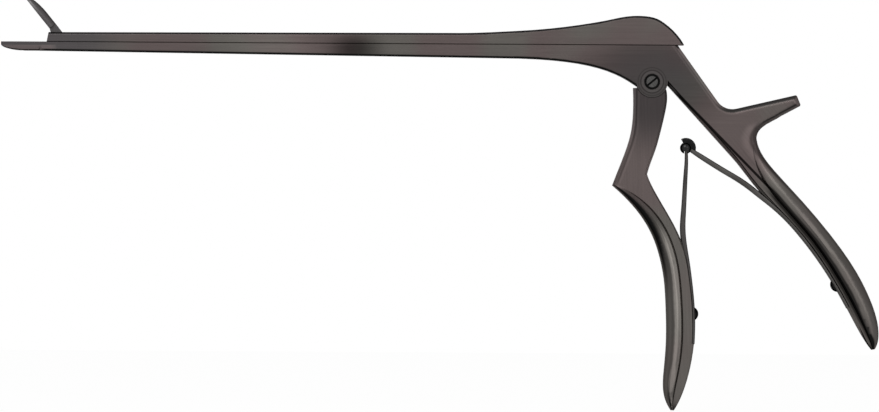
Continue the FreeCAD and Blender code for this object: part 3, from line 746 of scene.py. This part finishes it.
def put_tube(name: str, rings: np.ndarray, sharp_angle: float) -> bpy.types.Object:
    """Makes a piece from rings, with its ends closed and its faces turned outward."""
    return turned_outward(put_mesh(name, *closed_tube(rings), sharp_angle))


def dress(piece: bpy.types.Object, finish: Finish) -> None:
    """Gives a piece its material."""
    piece.data.materials.append(finish.make())


def smooth_copy(name: str, sharp_angle: float, grid: float = 0.0002 * MM,
                flat_weight: int = 80) -> bpy.types.Object:
    """A CAD node's own shape with its corners merged, so that its round faces shade smooth.

    Args:
        name: CAD node that the copy stands for.
        sharp_angle: Edges that turn by more than this many degrees stay sharp.
        grid: Corners in the same cell of this size are one corner.
        flat_weight: How much more the large faces count in the shading.

    Returns:
        The copy.
    """
    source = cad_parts[name].data
    places = np.zeros(len(source.vertices) * 3)
    source.vertices.foreach_get("co", places)
    places = places.reshape(-1, 3)
    corners = np.zeros(len(source.loops), np.int64)
    source.loops.foreach_get("vertex_index", corners)
    keys = np.round(places / grid).astype(np.int64)
    _, first, merged = np.unique(keys, axis=0, return_index=True, return_inverse=True)
    faces = merged.reshape(-1)[corners].reshape(-1, 3)
    whole = (faces != np.roll(faces, 1, axis=1)).all(axis=1)
    piece = put_mesh(name + "_skin", places[first], faces[whole], sharp_angle)
    shading = piece.modifiers.new("even_shading", "WEIGHTED_NORMAL")
    shading.keep_sharp = True
    shading.weight = flat_weight
    return piece


def smooth_copies(body: str, finishes: dict[str, Finish], sharp_angle: float = 28.0) -> None:
    """Makes smooth copies of the CAD nodes of one body, in place of those nodes.

    Args:
        body: Body that carries them.
        finishes: Finish of each copy, by the node's name.
        sharp_angle: Edges that turn by more than this many degrees stay sharp.
    """
    for name, finish in finishes.items():
        piece = smooth_copy(name, sharp_angle)
        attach(piece, body)
        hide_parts(name)
        dress(piece, finish)
        report(piece)


# Shades of both shafts

@dataclass(frozen=True)
class ShaftCoat:
    """Shades that run over both shafts and into the jaws, with their places along X."""

    seam: float = 27.45 * MM
    seam_span: Span = mm(0.2, 0.4)
    seam_edge: float = 0.10
    # Place, stretch and size of a dark patch on both shafts, and its factor at the middle.
    dark_patch: Pair = mm(-120.6, 25.85)
    dark_patch_stretch: float = 1.7
    dark_patch_radius: Span = mm(0.6, 7.0)
    dark_patch_least: float = 0.30
    # Run along X and strength of a painted highlight on both shafts.
    highlight_run: Run = (mm(-166, -146), mm(-130, -140))
    highlight_gain: float = 0.26
    red_run: Run = (mm(-106, -99), mm(-79, -86))
    jaw_span: Span = mm(-187, -203)
    jaw_cool: float = 0.85

    def patch_and_highlight(self, place: Place) -> Signal:
        """A dark patch with soft sides, deepest in the fixed bar, and a painted highlight along a
        run before it.

        Args:
            place: Where on the piece the coat is.

        Returns:
            Factor on the colour.
        """
        clear = place.radius(self.dark_patch, self.dark_patch_stretch).step(*self.dark_patch_radius)
        highlight = place.x.within(*self.highlight_run) * self.highlight_gain
        return self.dark_patch_least + clear * (1.0 - self.dark_patch_least) + highlight

    def off_the_seam(self, place: Place) -> Signal:
        """Keeps the painted edge shade off the small breaks along the seam of the shafts."""
        return self.seam_edge + place.z.near(self.seam, self.seam_span) * (1.0 - self.seam_edge)

    def reddish(self, place: Place, patch: Signal) -> Signal:
        """Share of the reddish coat: one run before the body, and patches elsewhere."""
        return patch.larger(place.x.within(*self.red_run))

    def jaw_end(self, place: Place) -> Signal:
        """Share of the cooler coat where the shafts end in the jaws."""
        return place.x.step(*self.jaw_span) * self.jaw_cool


SHAFTS = ShaftCoat()


# Sub-assemblies

@dataclass(frozen=True)
class FixedBody:
    """The forging: fixed bar with the lower jaw, body, thumb spur and rear handle.

    Spans named down lie along the rear handle, from and before along X, and above, below
    and run along Z. Those named facing, lean or inward go by the way the surface looks.
    """

    grain_down: Span = mm(-14, -2)

    web_half: float = 3.5 * MM
    web_taper: float = 0.02
    web_tapered: float = 45 * MM
    web_tip_down: Span = mm(84, 99)
    web_tip_loss: float = 1.9 * MM

    # Painted shade in the hollow beside the rear grip's bead, placed from the grip's front edge.
    front_edge: Knots = (mm(23.5, 9.0), mm(30.8, 15.35),
                         mm(38.05, 20.6), mm(45.85, 25.4),
                         mm(50.7, 28.1))
    hollow_start: Span = mm(-0.3, 1.0)
    hollow_end: Span = mm(3.6, 2.8)
    hollow_tip_down: Span = mm(74, 98)
    hollow_tip_loss: float = 2.1 * MM
    hollow_lean: Span = (0.45, 0.15)
    hollow_down: Span = mm(15, 25)
    hollow_dark: float = 0.50
    hollow_deep_down: Span = mm(100, 92)
    hollow_deep_dark: float = 0.34

    # Painted line of shade inside the rear shank's bevel.
    line_slope: float = 0.989
    line_place: float = -11.07 * MM
    line_width: Span = mm(0.75, 0.35)
    line_run: Run = (mm(14, 12), mm(-19, -15))
    line_facing: Span = (0.3, 0.6)
    line_dark: float = 0.92

    # Painted shade rim around the saddle, and a painted highlight band inside it.
    saddle_foot: float = 0.6 * MM
    saddle_bow: float = 4 * MM
    saddle_run: Run = (mm(5, 2.5), mm(-18, -10))
    saddle_from: Span = mm(-9, -7)
    rim_depth: Span = mm(2.6, 1.6)
    rim_dark: float = 0.46
    band_depth: Run = (mm(1.9, 2.9), mm(5.5, 3.2))
    band_gain: float = 0.38

    red_shank: Pair = mm(-9, 5)
    red_shank_radius: Span = mm(16, 7)
    red_shank_share: float = 0.9
    red_spur_from: Span = mm(7, 12)
    red_spur_above: Span = mm(0.0, 5)
    red_grip_down: Span = mm(12, 22)
    red_grip_loss: float = 0.65

    # Where the painted edge shade is lessened or taken off: inner bevel, outer side, a flank, the
    # cup.
    bevel_height: Span = mm(-0.22, -0.42)
    bevel_down: Span = mm(-44, -42)
    bevel_inward: Span = (-0.15, -0.45)
    outer_lean: Span = (0.15, 0.5)
    outer_from: Span = mm(-46, -44)
    outer_unshaded: float = 0.85
    outer_loss_down: Span = mm(8, 18)
    outer_loss: float = 0.27
    flank_height: Span = mm(0.0, 0.1)
    flank_down: Span = mm(70, 14)
    flank_unshaded: float = 0.9
    cup_from: Span = mm(-213, -216)
    cup_facing: Span = (0.45, 0.75)

    # Painted highlights on the bead's crest and on the edge of the body's back.
    crest: Knots = (mm(0.0, 4.5), mm(62, 4.5), mm(79, 4.1),
                    mm(91.7, 2.9), mm(98, 0.7))
    crest_height: Span = mm(-0.7, -0.1)
    crest_down: Span = mm(4, 16)
    crest_gain: float = 0.24
    back_facing: Span = (0.985, 0.80)
    back_lean: Span = (0.25, 0.5)
    back_before: Span = mm(-6, -9)
    back_above: Span = mm(8, 12)
    back_gain: float = 1.3

    nose_from: Span = mm(-209, -212)
    nose_below: Span = mm(26.7, 26.2)
    nose_warmer: float = 0.6
    nose_gain: float = 0.42

    pivot_cool_stretch: float = 1.3
    pivot_cool_radius: Span = mm(15, 5)
    pivot_cool: float = 0.55
    pivot_dark_stretch: float = 1.6
    pivot_dark_radius: Span = mm(8, 19)
    pivot_light: float = 0.66

    spot_face: Span = mm(3.3, 3.0)
    spot_gain: float = 0.25
    ring: float = 3.4 * MM
    ring_width: Span = mm(0.22, 0.06)
    outer_ring: float = 4.2 * MM
    outer_ring_width: Span = mm(0.20, 0.05)
    outer_ring_share: float = 0.7
    ring_dark: float = 0.45

    def rear_grip(self, place: Place) -> Signal:
        """Share of the grip's own grain: below the thumb spur and behind the pivot."""
        return place.down.step(*self.grain_down)

    def above_web(self, place: Place) -> Signal:
        """How far the surface stands outside the flat web of the rear handle.

        The web narrows in an even taper from the body down, and once more at the tip.

        Args:
            place: Where on the piece the coat is.

        Returns:
            The height, below 0 on the web itself.
        """
        tapered = place.down.larger(0.0).smaller(self.web_tapered) * self.web_taper
        tip = place.down.step(*self.web_tip_down) * self.web_tip_loss
        return abs(place.y) - (self.web_half - tapered - tip)

    def web_shade(self, place: Place) -> Signal:
        """Painted black shade in the hollow beside the rear grip's bead, fading toward its front
        edge.

        The place across the grip is measured along X from the line of its front edge. The
        hollow narrows toward the tip.

        Args:
            place: Where on the piece the coat is.

        Returns:
            Factor on the colour.
        """
        across = place.x - taper(-place.z, self.front_edge)
        past = across + place.down.step(*self.hollow_tip_down) * self.hollow_tip_loss
        hollow = across.step(*self.hollow_start) * past.step(*self.hollow_end)
        hollow = hollow * place.lean.step(*self.hollow_lean) * place.down.step(*self.hollow_down)
        deep = place.down.step(*self.hollow_deep_down) * self.hollow_deep_dark
        return 1.0 - hollow * (self.hollow_dark + deep)

    def bevel_line(self, place: Place) -> Signal:
        """Painted black shade in a straight line inside the bevel along the rear shank's front
        edge.

        Args:
            place: Where on the piece the coat is.

        Returns:
            Factor on the colour.
        """
        line = (place.x + place.z * self.line_slope).near(self.line_place, self.line_width)
        line = line * place.z.within(*self.line_run) * place.facing.step(*self.line_facing)
        return 1.0 - line * self.line_dark

    def saddle_rim(self, place: Place) -> Signal:
        """Painted shade in a rim around the saddle, with a painted highlight band inside it.

        The depth under the rim is measured along X from a hyperbola that follows the
        saddle: x = sqrt(bow squared + height squared) - bow, with its lowest point a
        little under the origin.

        Args:
            place: Where on the piece the coat is.

        Returns:
            Factor on the colour.
        """
        height = place.z + self.saddle_foot
        depth = (height * height + self.saddle_bow ** 2) ** 0.5 - self.saddle_bow - place.x
        rim = depth.step(*self.rim_depth) * self.rim_dark
        band = depth.within(*self.band_depth) * self.band_gain
        along = place.z.within(*self.saddle_run) * place.x.step(*self.saddle_from)
        return 1.0 + (band - rim) * along

    def warm_share(self, place: Place, patch: Signal) -> Signal:
        """Reddish coat on the rear shank, the spur's end and the lower jaw, else in patches.

        Args:
            place: Where on the piece the coat is.
            patch: Share of the reddish coat where it lies in patches.

        Returns:
            Share of the reddish coat, 0 to 1.
        """
        shank = place.radius(self.red_shank).step(*self.red_shank_radius) * self.red_shank_share
        spur = place.x.step(*self.red_spur_from) * place.z.step(*self.red_spur_above)
        grip = place.down.step(*self.red_grip_down) * self.red_grip_loss
        patch = SHAFTS.reddish(place, patch * (1.0 - grip))
        return patch.larger(shank).larger(spur).larger(self.nose_band(place))

    def edge_shade_kept(self, place: Place) -> Signal:
        """Keeps the painted edge shade off the rear handle's inner bevel, its outer side and the
        cup.

        Args:
            place: Where on the piece the coat is.

        Returns:
            Share of the painted edge shade that is kept, 0 to 1.
        """
        bevel = self.above_web(place).step(*self.bevel_height) * place.down.step(*self.bevel_down)
        bevel = bevel * (place.lean + place.rise).step(*self.bevel_inward)
        outer = place.lean.step(*self.outer_lean) * place.x.step(*self.outer_from)
        outer = outer * (self.outer_unshaded
                         - place.down.step(*self.outer_loss_down) * self.outer_loss)
        flank = self.above_web(place).step(*self.flank_height) * place.down.step(*self.flank_down)
        cup = place.x.step(*self.cup_from) * place.facing.step(*self.cup_facing)
        kept = (1.0 - bevel) * (1.0 - outer) * (1.0 - flank * self.flank_unshaded) * (1.0 - cup)
        return kept * SHAFTS.off_the_seam(place)

    def painted_highlights(self, place: Place) -> Signal:
        """Painted highlights on the bead's most proud line and on the edge of the body's back.

        Args:
            place: Where on the piece the coat is.

        Returns:
            Factor on the colour.
        """
        crest = (abs(place.y) - taper(place.down, self.crest)).step(*self.crest_height)
        crest = crest * place.down.step(*self.crest_down)
        back = place.facing.step(*self.back_facing) * place.lean.step(*self.back_lean)
        back = back * place.x.step(*self.back_before) * place.z.step(*self.back_above)
        return 1.0 + crest * self.crest_gain + back * self.back_gain

    def nose_band(self, place: Place) -> Signal:
        """Share of the lighter, reddish band along the lower half of the lower jaw."""
        return place.x.step(*self.nose_from) * place.z.step(*self.nose_below)

    def nose_shade(self, place: Place) -> Signal:
        """Lighter coat in that band."""
        return 1.0 + self.nose_band(place) * self.nose_gain

    def cool_share(self, place: Place) -> Signal:
        """Share of the cooler coat: round the pivot and where the bar ends in the jaw.

        Args:
            place: Where on the piece the coat is.

        Returns:
            Share of the cooler coat, 0 to 1.
        """
        jaw = SHAFTS.jaw_end(place) * (1.0 - self.nose_band(place) * self.nose_warmer)
        pivot = place.radius(PIVOT, self.pivot_cool_stretch).step(*self.pivot_cool_radius)
        return jaw.larger(pivot * self.pivot_cool)

    def pivot_shade(self, place: Place) -> Signal:
        """Darker on the body around the pivot screw."""
        away = place.radius(PIVOT, self.pivot_dark_stretch).step(*self.pivot_dark_radius)
        return self.pivot_light + away * (1.0 - self.pivot_light)

    def turned_rings(self, place: Place) -> Signal:
        """A lighter spot face around the screw and two fine turned lines outside it.

        Args:
            place: Where on the piece the coat is.

        Returns:
            Factor on the colour.
        """
        radius = place.radius(PIVOT)
        outer = radius.near(self.outer_ring, self.outer_ring_width) * self.outer_ring_share
        rings = radius.near(self.ring, self.ring_width) + outer
        return 1.0 + radius.step(*self.spot_face) * self.spot_gain - rings * self.ring_dark

    def build(self) -> None:
        """Makes the forging and the fixed pin and screws."""
        coat = BrushedCoat("brushed_coat_body", grains=((Grain.REAR_GRIP, self.rear_grip),),
                           shades=(self.pivot_shade, self.turned_rings, self.web_shade,
                                   self.bevel_line, self.saddle_rim, self.painted_highlights,
                                   self.nose_shade, SHAFTS.patch_and_highlight),
                           edge_limit=self.edge_shade_kept, cool_share=self.cool_share,
                           warm_share=self.warm_share)
        smooth_copies("body", {
            "frame": coat,
            "handle_pivot_screw": WornScrew("worn_pivot_screw"),
            "rear_spring_screw": BlackOxide("black_oxide_fixed"),
            "jaw_pivot_pin": BrushedCoat("flush_pin_body", cool_share=SHAFTS.jaw_end),
        })


@dataclass(frozen=True)
class SlidingShaft:
    """The upper shaft and the pin that pushes the jaw."""

    # Colour of the painted shade on the rounded edges, and where it begins.
    dark: Colour = (0.016, 0.015, 0.015)
    edge_span: Span = (0.998, 0.95)

    def build(self) -> None:
        """Makes the slider and its drive pin."""
        coat = BrushedCoat("brushed_coat_slider", shades=(SHAFTS.patch_and_highlight,), dark=self.dark,
                           edge_span=self.edge_span, edge_limit=SHAFTS.off_the_seam,
                           cool_share=SHAFTS.jaw_end, warm_share=SHAFTS.reddish)
        smooth_copies("sliding_shaft", {
            "slider": coat,
            "jaw_drive_pin": BrushedCoat("flush_pin_slider", cool_share=SHAFTS.jaw_end),
        })


@dataclass(frozen=True)
class BitingJaw:
    """The cupped upper jaw."""

    neutral: Colour = (0.074, 0.071, 0.072)
    warm: Colour = (0.072, 0.064, 0.065)
    edge_span: Span = (0.80, 0.30)

    def build(self) -> None:
        """Makes the upper jaw."""
        smooth_copies("jaw", {"upper_jaw": BrushedCoat(
            "brushed_coat_jaw", neutral=self.neutral, warm=self.warm, edge_span=self.edge_span)})


@dataclass(frozen=True)
class FrontHandle:
    """The squeezed handle with its leaf's screw.

    Spans named above or below lie along Z, and those named facing or lean go by the way
    the surface looks.
    """

    # Colour of the painted shade on the rounded edges, and where it begins.
    dark: Colour = (0.030, 0.027, 0.026)
    edge_span: Span = (0.95, 0.55)

    eye_dark_radius: Span = mm(9, 26)
    eye_light: float = 0.56
    eye_cool_radius: Span = mm(24, 8)
    eye_cool: float = 0.6

    # Where the painted edge shade is lessened or taken off, and by how much.
    front_above: Span = mm(-16, -12)
    front_lean: Span = (-0.3, -0.6)
    front_unshaded: float = 0.8
    back_lean: Span = (0.1, 0.4)
    back_unshaded: float = 0.85
    low_below: Span = mm(-34, -52)
    low_unshaded: float = 0.7
    rim_lean: Span = (-0.1, -0.4)
    rim_facing: Span = (0.50, 0.25)
    rim_unshaded: float = 0.75

    red_above: Span = mm(-26, -18)
    red_shank: float = 0.9
    red_grip: float = 0.4

    # Painted highlights on the bead's crest, its rear side and the shank's front edges.
    crest: Knots = (mm(0.0, 4.5), mm(56, 4.5), mm(68, 4.0),
                    mm(77, 2.9), mm(82, 0.8))
    crest_height: Span = mm(-0.22, -0.03)
    crest_below: Span = mm(-22, -38)
    rear_lean: Span = (0.25, 0.55)
    rear_side: Span = mm(3.2, 3.3)
    rear_above: Span = mm(-17, -13)
    edge_lean: Span = (-0.25, -0.55)
    edge_above: Span = mm(-9, 3)
    coat_gain: float = 1.09
    edge_gain: float = 1.1

    # Painted line of shade inside the shank's front edge and a painted highlight line beside it.
    shank_edge: Knots = (mm(-12.5, -37.1), mm(-3.5, -37.28),
                         mm(-0.5, -37.71), mm(2.5, -38.53),
                         mm(8.5, -40.66), mm(11.5, -41.81))
    line_inside: float = 1.0 * MM
    line_dark: float = 0.36
    beside_inside: float = 1.7 * MM
    beside_gain: float = 0.16
    line_width: Span = mm(0.45, 0.15)
    line_facing: Span = (0.5, 0.9)

    # Painted shade where the bead starts and along its front side.
    bead_side: Span = mm(3.25, 3.45)
    bead_above: Span = mm(-33, -24)
    bead_dark: float = 0.55
    bead_front_lean: Run = ((-0.80, -0.55), (-0.12, -0.36))
    bead_front_below: Span = mm(-30, -40)
    bead_front_dark: float = 0.38

    def eye_shade(self, place: Place) -> Signal:
        """Darker on the upper shank, near the eye."""
        away = place.radius(PIVOT).step(*self.eye_dark_radius)
        return self.eye_light + away * (1.0 - self.eye_light)

    def cool_share(self, place: Place) -> Signal:
        """Share of the cooler coat on the upper shank."""
        return place.radius(PIVOT).step(*self.eye_cool_radius) * self.eye_cool

    def edge_shade_kept(self, place: Place) -> Signal:
        """Keeps the painted edge shade off the shank's two bevels and off the lower grip.

        Args:
            place: Where on the piece the coat is.

        Returns:
            Share of the painted edge shade that is kept, 0 to 1.
        """
        front = place.lean.step(*self.front_lean)
        shank = front * place.z.step(*self.front_above) * self.front_unshaded
        back = place.lean.step(*self.back_lean) * self.back_unshaded
        low = front * place.z.step(*self.low_below) * self.low_unshaded
        rim = place.lean.step(*self.rim_lean) * place.facing.step(*self.rim_facing)
        return (1.0 - shank) * (1.0 - back) * (1.0 - low) * (1.0 - rim * self.rim_unshaded)

    def warm_share(self, place: Place, patch: Signal) -> Signal:
        """Reddish coat on the shank, and mostly neutral on the grip."""
        shank = place.z.step(*self.red_above)
        return patch * (1.0 - shank) * self.red_grip + shank * self.red_shank

    def painted_highlights(self, place: Place) -> Signal:
        """Painted highlights on the bead's most proud line, on its rear side and on the shank's
        edges.

        Args:
            place: Where on the piece the coat is.

        Returns:
            Factor on the colour.
        """
        crest = (abs(place.y) - taper(-place.z, self.crest)).step(*self.crest_height)
        side = abs(place.y).step(*self.rear_side).larger(place.z.step(*self.rear_above))
        rear = place.lean.step(*self.rear_lean) * side
        front = place.lean.step(*self.edge_lean) * place.z.step(*self.edge_above)
        return self.coat_gain + crest * place.z.step(*self.crest_below) + (
            rear + front) * self.edge_gain

    def shank_line(self, place: Place) -> Signal:
        """Painted line of shade inside the shank's front edge, with a painted highlight beside
        it.

        Args:
            place: Where on the piece the coat is.

        Returns:
            Factor on the colour.
        """
        inside = place.x - taper(-place.z, self.shank_edge)
        line = inside.near(self.line_inside, self.line_width) * self.line_dark
        beside = inside.near(self.beside_inside, self.line_width) * self.beside_gain
        shank = place.z.step(*self.front_above) * place.facing.step(*self.line_facing)
        return 1.0 + (beside - line) * shank

    def bead_shade(self, place: Place) -> Signal:
        """Painted shade where the grip's bead starts and in a run along its front side.

        Args:
            place: Where on the piece the coat is.

        Returns:
            Factor on the colour.
        """
        start = abs(place.y).step(*self.bead_side) * place.z.step(*self.bead_above)
        front = place.lean.within(*self.bead_front_lean) * place.z.step(*self.bead_front_below)
        return (1.0 - start * self.bead_dark) * (1.0 - front * self.bead_front_dark)

    def build(self) -> None:
        """Makes the handle and its screw."""
        coat = BrushedCoat("brushed_coat_handle", first_grain=Grain.UPRIGHT, dark=self.dark,
                           edge_span=self.edge_span, edge_limit=self.edge_shade_kept,
                           cool_share=self.cool_share, warm_share=self.warm_share,
                           shades=(self.eye_shade, self.painted_highlights, self.bead_shade,
                                   self.shank_line))
        smooth_copies("handle", {
            "front_handle": coat,
            "front_spring_screw": BlackOxide("black_oxide_handle_screw"),
        })


@dataclass(frozen=True)
class LeafSpring:
    """A leaf spring: flat strip with softened edges that narrows to its free end.

    The stations run from the foot up as x, z of the face toward the grips' gap and the
    strip's thickness, in millimetres, as are the ends of the bend, which are not used. side is
    the side that the strip lies on, and root the station from which it narrows.
    """

    name: str
    solid: str
    carrier: str
    tip_body: str
    side: float
    root: int
    stations: tuple[tuple[float, float, float], ...]
    bend_start: Pair
    bend_end: Pair
    grain: Grain
    tone: Colour = (0.062, 0.058, 0.056)
    foot_width: float = 5.0 * MM
    tip_width: float = 2.6 * MM
    overrun: float = 1.2
    edge: float = 0.45 * MM
    fullest_edge: float = 0.95
    samples: int = 140
    sharp_angle: float = 40.0

    def rings(self) -> np.ndarray:
        """Sections along the strip: rounded rectangles square to its middle line.

        The middle line lies half a thickness off the inner face. The width is the foot's
        up to the root, and falls in a straight line from there to the tip.

        Returns:
            Places as [station, point on the ring, coordinate].
        """
        inner = smooth_line(np.array(self.stations) * MM, self.samples)
        run = np.gradient(inner[:, :2], axis=0)
        run /= np.linalg.norm(run, axis=1)[:, None]
        normal = np.stack([run[:, 1], -run[:, 0]], axis=1) * self.side
        half = inner[:, 2] / 2
        middle = inner[:, :2] + normal * half[:, None]
        root = np.array(self.stations[self.root][:2]) * MM
        tip = np.array(self.stations[-1][:2]) * MM
        chord = tip - root
        share = ((inner[:, :2] - root) @ chord) / (chord @ chord) / self.overrun
        width = self.foot_width + (self.tip_width - self.foot_width) * np.clip(share, 0, 1)
        radius = np.minimum(self.edge, half * self.fullest_edge)
        across, out = rounded_section(width / 2, half, radius)
        x = middle[:, :1] + out * normal[:, :1]
        z = middle[:, 1:] + out * normal[:, 1:]
        return np.stack([x, across, z], axis=-1)

    def build(self) -> None:
        """Makes the strip in place of its solid."""
        piece = put_tube(self.name, self.rings(), self.sharp_angle)
        dress(piece, SpringSteel("spring_steel_" + self.carrier, grain=self.grain,
                                             tone=self.tone))
        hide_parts(self.solid)
        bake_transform(piece)
        report(piece)


@dataclass(frozen=True)
class SpringPair:
    """Both leaf springs, the ball on one and the open hook on the other."""

    rear_tone: Colour = (0.082, 0.078, 0.074)
    ball_tone: Colour = (0.024, 0.024, 0.024)
    ball_roughness: float = 0.14
    ball_sharp_angle: float = 45.0
    hook_clearance: float = 0.06 * MM
    hook_thickness: float = 1.2 * MM
    hook_rounding: float = 0.3 * MM
    hook_half_width: float = 1.3 * MM
    hook_from: float = -36.0
    hook_to: float = 118.0
    hook_samples: int = 72
    hook_sharp_angle: float = 40.0

    def front(self) -> LeafSpring:
        """The straight leaf on the front handle.

        Returns:
            The leaf's sizes and places.
        """
        return LeafSpring(
            name="front_leaf", solid="front_leaf_spring", carrier="handle",
            tip_body="front_leaf", side=1.0, root=5, grain=Grain.UPRIGHT,
            bend_start=(-21.9, -33.0), bend_end=(-22.3, -17.0),
            stations=(
                (-19.15, -62.0, 0.9), (-19.0, -55.5, 0.9), (-19.35, -49.0, 0.9),
                (-20.05, -43.0, 0.95), (-21.0, -37.0, 1.05), (-22.3, -31.8, 1.5),
                (-22.75, -28.0, 1.6), (-22.45, -22.0, 1.42), (-22.08, -16.0, 1.28),
                (-21.72, -10.5, 1.15), (-21.5, -7.4, 1.02), (-21.45, -4.3, 0.85),
            ))

    def rear(self) -> LeafSpring:
        """The leaf on the rear handle that bends across to the ball.

        Returns:
            The leaf's sizes and places.
        """
        return LeafSpring(
            name="rear_leaf", solid="rear_leaf_spring", carrier="body",
            tip_body="rear_leaf", side=-1.0, root=6, grain=Grain.REAR_GRIP,
            tone=self.rear_tone, bend_start=(1.0, -16.5), bend_end=(-9.5, -10.0),
            stations=(
                (28.1, -50.7, 0.9), (25.4, -45.85, 0.9), (20.6, -38.05, 0.95),
                (15.35, -30.8, 1.05), (9.0, -23.5, 1.15), (5.0, -19.75, 1.3),
                (1.4, -16.7, 1.5), (-1.8, -14.1, 1.6), (-5.2, -11.8, 1.6),
                (-9.4, -9.35, 1.58), (-13.3, -7.0, 1.55), (-17.3, -4.58, 1.4),
                (-19.3, -3.42, 1.2),
            ))

    def hook_rings(self) -> np.ndarray:
        """Sections of the open ring around the ball: a rounded rectangle along an arc.

        Its inner side is hollowed to the ball: toward the ring's edges it comes in by as
        much as a sphere of the ring's inner radius does.

        Returns:
            Places as [station, point on the ring, coordinate].
        """
        low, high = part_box("spring_ball")
        centre = (low + high) / 2
        inside = (high.y - low.y) / 2 + self.hook_clearance
        turn = np.radians(np.linspace(self.hook_from, self.hook_to, self.hook_samples))
        even = np.ones(len(turn))
        across, out = rounded_section(even * self.hook_half_width, even * self.hook_thickness / 2,
                                      even * self.hook_rounding)
        inner = np.clip(0.5 - out / self.hook_thickness, 0, 1)
        hollow = inside - np.sqrt(inside ** 2 - across ** 2)
        reach = inside + self.hook_thickness / 2 + out - inner * hollow
        return np.stack([centre.x + reach * np.cos(turn)[:, None], across,
                         centre.z + reach * np.sin(turn)[:, None]], axis=-1)

    def build(self) -> None:
        """Makes both leaves, the ball and the hook."""
        self.front().build()
        self.rear().build()
        smooth_copies("front_leaf", {"spring_ball": BlackOxide(
            "black_oxide_ball", tone=self.ball_tone, roughness=self.ball_roughness)},
            self.ball_sharp_angle)
        hook = put_tube("rear_leaf_hook", self.hook_rings(), self.hook_sharp_angle)
        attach(hook, "rear_leaf")
        dress(hook, BlackOxide("black_oxide_hook"))
        report(hook)


# Studio

@dataclass(frozen=True)
class SoftBox:
    """A square soft light that points at the instrument."""

    name: str
    place: tuple[float, float, float]
    size: float
    power: float

    def build(self, target: Vector) -> None:
        """Makes the light and turns it toward the target.

        Args:
            target: Point that the light looks at.
        """
        lamp = bpy.data.lights.new(self.name, "AREA")
        lamp.shape = "SQUARE"
        lamp.size = self.size
        lamp.energy = self.power
        holder = put_object(self.name, lamp)
        holder.location = self.place
        holder.rotation_euler = (target - Vector(self.place)).to_track_quat("-Z", "Y").to_euler()


@dataclass(frozen=True)
class Studio:
    """Pale floor, white surround, soft lights and the camera of the photograph."""

    picture_width: float = 263.7 * MM
    picture_middle: Pair = mm(-94.95, -21.13)
    camera_distance: float = 2.0
    sensor: float = 36.0
    roll: float = -math.radians(0.35)
    world_light: float = 0.75
    floor_drop: float = 0.6 * MM
    floor_colour: Colour = (0.80, 0.80, 0.79)
    floor_size: float = 1.6
    floor_white: float = 0.96
    lights: tuple[SoftBox, ...] = (
        SoftBox("key", (-0.45, -0.9, 0.75), 0.7, 6.0),
        SoftBox("fill", (0.55, -1.0, 0.35), 0.7, 1.6),
    )

    def camera(self) -> None:
        """Places the camera square in front of the middle of the picture."""
        data = bpy.data.cameras.new("camera")
        data.sensor_width = self.sensor
        data.lens = self.sensor * self.camera_distance / self.picture_width
        camera = put_object("camera", data)
        x, z = self.picture_middle
        camera.location = (x, -self.camera_distance, z)
        camera.rotation_euler = (math.pi / 2, self.roll, 0.0)
        bpy.context.scene.camera = camera

    def surround(self) -> None:
        """World that is white to the camera and in reflections, and gentler as light."""
        world = bpy.data.worlds.new("surround")
        tree = emptied_tree(world)
        seen = seen_by(tree, "Camera", "Glossy", "Transmission")
        strength = self.world_light + seen * (1.0 - self.world_light)
        show(node(tree, "ShaderNodeBackground", {}, WHITE, strength), "ShaderNodeOutputWorld")
        bpy.context.scene.world = world

    def floor_finish(self) -> bpy.types.Material:
        """Matt pale floor that the camera and reflections see nearly white.

        Returns:
            The material.
        """
        material = bpy.data.materials.new("pale_floor")
        tree = emptied_tree(material)
        matt = node(tree, "ShaderNodeBsdfDiffuse", {}, (*self.floor_colour, 1.0))
        white = node(tree, "ShaderNodeEmission", {}, WHITE, 1.0)
        seen = seen_by(tree, "Camera", "Glossy")
        show(node(tree, "ShaderNodeMixShader", {}, seen * self.floor_white, matt, white))
        return material

    def floor(self) -> None:
        """A flat square just under the lowest point of the handles."""
        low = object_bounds()[0].z - self.floor_drop
        half = self.floor_size / 2
        middle = self.picture_middle[0]
        corners = np.array([(middle + half * x, half * y, low)
                            for x, y in ((-1, -1), (1, -1), (1, 1), (-1, 1))])
        piece = put_mesh("floor", corners, [(0, 1, 2, 3)], sharp_angle=30.0)
        piece.data.materials.append(self.floor_finish())
        piece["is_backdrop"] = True

    def build(self) -> None:
        """Sets up the camera, the surround, the floor and the lights."""
        self.camera()
        self.surround()
        self.floor()
        target = Vector((self.picture_middle[0], 0.0, self.picture_middle[1]))
        for light in self.lights:
            light.build(target)
        bpy.context.scene.view_settings.view_transform = "Standard"


def main() -> None:
    """Builds the instrument and the studio."""
    logging.basicConfig(level=logging.INFO, format="%(message)s")
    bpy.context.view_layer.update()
    for part in (FixedBody(), SlidingShaft(), BitingJaw(), FrontHandle(), SpringPair()):
        part.build()
    Studio().build()


if __name__ == "__main__":
    main()
